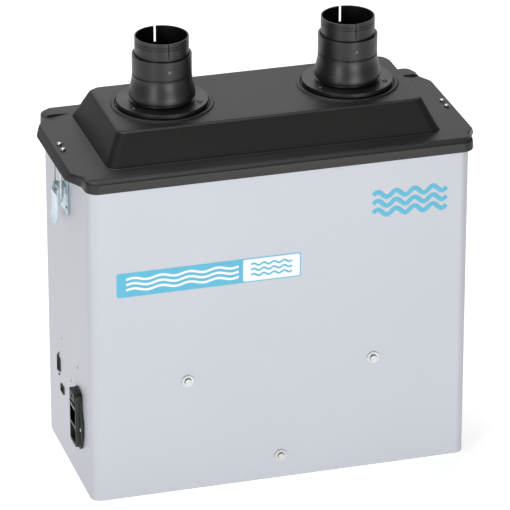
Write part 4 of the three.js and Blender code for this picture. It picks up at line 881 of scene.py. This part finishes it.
five = [(-SIGNAL_ROW, (i - 2) * SIGNAL_PITCH) for i in range(5)]
four = [(SIGNAL_ROW, (i - 1.5) * SIGNAL_PITCH) for i in range(4)]
contacts("signal_pins", dsub_middle, five + four, 0.5 * MM)
six = [((i - 2.5) * JACK_PITCH, JACK_ROW) for i in range(6)]
contacts("jack_contacts", jack_middle, six, 0.3 * MM)

# %% [markdown]
# ## Raised frames of the signal sockets
# Each signal socket is snapped in from outside, so a dark plastic frame stands a little proud of
# the wall and covers the edge of its cut-out. Cutting one box out of another would give it no slant.
# So the outline of the opening is drawn once, and rings of it, grown step by step, make the inner
# lip, the face and the slanted outside.


# %% Socket frames
FRAME_PROUD = 1.4 * MM
FRAME_SUNK = 0.02 * MM
FRAME_CORNER = 1.4 * MM
# Each ring's growth in millimetres and its share of the height.
FRAME_RINGS = [(0.0, 0.0), (0.0, 1.0), (0.4, 1.0), (0.8, 0.7), (0.9, 0.0)]


def socket_frame(name, half_y, half_z, taper, centre):
    """A closed frame on the left wall, round an opening whose corners are cut on one side."""
    vertices = []
    for grown, share in FRAME_RINGS:
        y, z = half_y + grown * MM, half_z + grown * MM
        corners = [(-y, z - taper), (-y, taper - z), (y, -z), (y, z)]
        outline = eased(corners, FRAME_CORNER)
        x = shell_low.x - FRAME_SUNK - share * FRAME_PROUD
        vertices += [(x, centre.y + point[0], centre.z + point[1]) for point in outline]
    count = len(outline)
    faces = []
    for ring in range(len(FRAME_RINGS)):
        here, there = ring * count, ((ring + 1) % len(FRAME_RINGS)) * count
        for i in range(count):
            j = (i + 1) % count
            faces.append((here + i, here + j, there + j, there + i))
    mesh = mesh_from(name, vertices, faces)
    made = show(name, mesh, "housing", FINISHES["inlet_plastic"])
    soften(made, 0)
    print(name, len(faces), "faces")


socket_frame("signal_socket_frame", 5.2 * MM, 9.4 * MM, 2.4 * MM, dsub_middle)
socket_frame("interface_jack_frame", 6.2 * MM, 3.8 * MM, 0.0, jack_middle)

# %% [markdown]
# ## Front label
# The front carries a printed film: a sky-blue field and a white panel with a thin blue frame. In
# place of any wording it has plain air-stream waves, and a larger set of waves stands alone at the
# top right. A film is a thin plate, so it has a real edge. A wave is a line that a recipe bends,
# thickens and repeats, which keeps the rows alike.


# %% Label film
FILM_CORNER = 2.2 * MM
FIELD_THICKNESS = 0.12 * MM
PANEL_THICKNESS = 0.06 * MM
LABEL = (-184.5 * MM, 22.5 * MM, 246.8 * MM, 275.3 * MM)
PANEL_X = -43 * MM
FRAME_WIDTH = 1.3 * MM


def film(name, x0, x1, z0, z1, face, finish, thickness):
    """A thin printed film with rounded corners on the front wall."""
    corners = [(x0, z0), (x1, z0), (x1, z1), (x0, z1)]
    outline = eased(corners, FILM_CORNER, 6)
    count = len(outline)
    vertices = [(x, y, z) for y in (face, face - thickness) for x, z in outline]
    faces = [tuple(range(count)), tuple(range(count, 2 * count))]
    faces += [(i, (i + 1) % count, count + (i + 1) % count, count + i) for i in range(count)]
    return show(name, mesh_from(name, vertices, faces, False), "housing", finish)


def wave_recipe(finish):
    made = Recipe(f"waves_{finish.name}", Count=3, Spacing=8.0 * MM, Length=60.0 * MM, Rise=2.0 * MM,
                  Wavelength=20.0 * MM, Thickness=3.0 * MM, Start=(0.0, 0.0, 0.0))
    end = made.node("ShaderNodeCombineXYZ", None, {"X": made.size("Length")})
    line = made.node("GeometryNodeCurvePrimitiveLine", None, {"End": end})
    fine = made.node("GeometryNodeResampleCurve", None, {"Curve": line, "Count": 60})
    place = made.node("GeometryNodeInputPosition")
    x = made.node("ShaderNodeSeparateXYZ", None, {0: place}, "X")
    phase = made.maths("MULTIPLY", made.maths("DIVIDE", x, made.size("Wavelength")), 2 * math.pi)
    height = made.maths("MULTIPLY", made.maths("SINE", phase), made.size("Rise"))
    offset = made.node("ShaderNodeCombineXYZ", None, {"Z": height})
    bent = made.node("GeometryNodeSetPosition", None, {"Geometry": fine, "Offset": offset})
    radius = made.maths("DIVIDE", made.size("Thickness"), 2.0)
    section = made.node("GeometryNodeCurvePrimitiveCircle", None, {"Resolution": 12, "Radius": radius})
    ribbon = made.node("GeometryNodeCurveToMesh", None,
                       {"Curve": bent, "Profile Curve": section, "Fill Caps": True})
    step = made.node("ShaderNodeCombineXYZ", None, {"Z": made.size("Spacing")})
    rows = made.node("GeometryNodeMeshLine", None, {"Count": made.size("Count"), "Offset": step})
    copies = made.node("GeometryNodeInstanceOnPoints", None, {"Points": rows, "Instance": ribbon})
    whole = made.node("GeometryNodeRealizeInstances", None, {"Geometry": copies})
    placed = made.node("GeometryNodeTransform", None,
                       {"Geometry": whole, "Translation": made.size("Start"), "Scale": (1.0, 0.05, 1.0)})
    made.finish_with(placed, finish)
    return made


front_y = shell_low.y
field_y = front_y - FIELD_THICKNESS
panel_y = field_y - PANEL_THICKNESS
film("label_field", *LABEL, front_y, FILM_BLUE, FIELD_THICKNESS)
panel = (PANEL_X, LABEL[1] - FRAME_WIDTH, LABEL[2] + FRAME_WIDTH, LABEL[3] - FRAME_WIDTH)
film("label_panel", *panel, field_y, FILM_WHITE, PANEL_THICKNESS)

WAVES_ALONG = 4
WAVE_SETS = {
    # colour and level on the front, then start x and z, length, rise, spacing and thickness in mm
    "label_waves_white": (FILM_WHITE, field_y, -174, 255.0, 126, 1.5, 6.2, 2.9),
    "label_waves_blue": (FILM_BLUE, panel_y, -34, 255.0, 46, 1.3, 6.2, 2.2),
    "air_mark": (FILM_BLUE, front_y, 104, 311, 84, 3.4, 10.5, 5.2),
}
wave_recipes = {finish.name: wave_recipe(finish) for finish in (FILM_WHITE, FILM_BLUE)}
for name, (finish, face, x, z, length, rise, spacing, thickness) in WAVE_SETS.items():
    mesh = grow(name, wave_recipes[finish.name], Start=(x * MM, face, z * MM), Length=length * MM,
                Rise=rise * MM, Spacing=spacing * MM, Thickness=thickness * MM,
                Wavelength=length / WAVES_ALONG * MM)
    show(name, mesh, "housing", finish)
    print(f"{name}: {len(mesh.polygons)} faces")

# %% [markdown]
# ## Fine-dust pleats
# The fine-dust stage is one sheet of paper folded into a zigzag. That shape follows a rule, so the
# recipe lays a flat grid and lifts each point by a triangle wave of its place along the cassette.
# Placing each fold by hand would not keep the pitch. The sheet gets its thickness afterwards.


# %% Pleated paper
STEPS_PER_FOLD = 8.0
ROWS_ACROSS = 9


def pleat_recipe(finish):
    made = Recipe("pleats", Length=400.0 * MM, Depth=160.0 * MM, Folds=33, Height=50.0 * MM,
                  Start=(0.0, 0.0, 0.0))
    steps = made.maths("ADD", made.maths("MULTIPLY", made.size("Folds"), STEPS_PER_FOLD), 1.0)
    sheet = made.node("GeometryNodeMeshGrid", None, {
        "Size X": made.size("Length"),
        "Size Y": made.size("Depth"),
        "Vertices X": steps,
        "Vertices Y": ROWS_ACROSS,
    })
    place = made.node("GeometryNodeInputPosition")
    x = made.node("ShaderNodeSeparateXYZ", None, {0: place}, "X")
    from_end = made.maths("ADD", x, made.maths("DIVIDE", made.size("Length"), 2.0))
    half = made.maths("DIVIDE", made.maths("DIVIDE", made.size("Length"), made.size("Folds")), 2.0)
    fold = made.maths("DIVIDE", made.maths("PINGPONG", from_end, half), half)
    height = made.maths("MULTIPLY", fold, made.size("Height"))
    lift = made.node("ShaderNodeCombineXYZ", None, {"Z": height})
    folded = made.node("GeometryNodeSetPosition", None, {"Geometry": sheet, "Offset": lift})
    moved = {"Geometry": folded, "Translation": made.size("Start")}
    placed = made.node("GeometryNodeTransform", None, moved)
    made.finish_with(placed, finish)
    return made


PAPER = FINISHES["filter_paper"]
PAPER_THICKNESS = 0.6 * MM
PLEAT_MARGIN = MM
low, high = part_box("pleated_filter")
start = ((low.x + high.x) / 2, (low.y + high.y) / 2, low.z + PLEAT_MARGIN)
mesh = grow("pleated_paper", pleat_recipe(PAPER), Length=high.x - low.x, Depth=high.y - low.y,
            Height=high.z - low.z - 2 * PLEAT_MARGIN, Start=start)
pleats = show("pleated_paper", mesh, "filter", PAPER, ["pleated_filter"])
thick = pleats.modifiers.new("paper", "SOLIDIFY")
thick.thickness = PAPER_THICKNESS
thick.offset = 0
print("pleats:", len(mesh.polygons), "faces")

# %% [markdown]
# ## Floor
# The floor is a wide plain sheet, pale and almost shadowless because it glows a little by itself.
# The surroundings are white where they are seen past it, but light the unit only weakly, because a
# bright sky would wash out the black cover. Neither is part of the unit.


# %% Floor and surroundings
FLOOR_REACH = 6.0
FLOOR_GLOW = 0.6
SURROUNDINGS_LIGHT = 0.12
SURROUNDINGS_SEEN = 1.0


def add_floor():
    corners = [(FLOOR_REACH * x, FLOOR_REACH * y, 0) for x, y in ((-1, -1), (1, -1), (1, 1), (-1, 1))]
    made = bpy.data.objects.new("floor", mesh_from("floor", corners, [(0, 1, 2, 3)], False))
    bpy.context.scene.collection.objects.link(made)
    pale = Finish("pale_floor", Specular_IOR_Level=0.1, Emission_Color=(1, 1, 1, 1),
                  Emission_Strength=FLOOR_GLOW)
    cloud = pale.noise(2, 2)
    pale.colour(cloud, (0.93, 0.93, 0.93), (0.96, 0.96, 0.96))
    pale.roughness(0.9 + 0.05 * cloud)
    made.data.materials.append(pale.material)


def add_surroundings():
    """A world that lights the unit weakly, but is white where it is seen past the floor."""
    world = bpy.data.worlds.new("studio")
    bpy.context.scene.world = world
    world.use_nodes = True
    tree = world.node_tree
    weak = tree.nodes["Background"]
    weak.inputs["Color"].default_value = (1.0, 1.0, 1.0, 1)
    weak.inputs["Strength"].default_value = SURROUNDINGS_LIGHT
    white = tree.nodes.new("ShaderNodeBackground")
    white.inputs["Strength"].default_value = SURROUNDINGS_SEEN
    path = tree.nodes.new("ShaderNodeLightPath")
    mix = tree.nodes.new("ShaderNodeMixShader")
    tree.links.new(path.outputs["Is Camera Ray"], mix.inputs["Fac"])
    tree.links.new(weak.outputs["Background"], mix.inputs[1])
    tree.links.new(white.outputs["Background"], mix.inputs[2])
    tree.links.new(mix.outputs["Shader"], tree.nodes["World Output"].inputs["Surface"])


add_floor()
add_surroundings()
bpy.context.scene.view_settings.view_transform = "Standard"
print("floor and world ready")
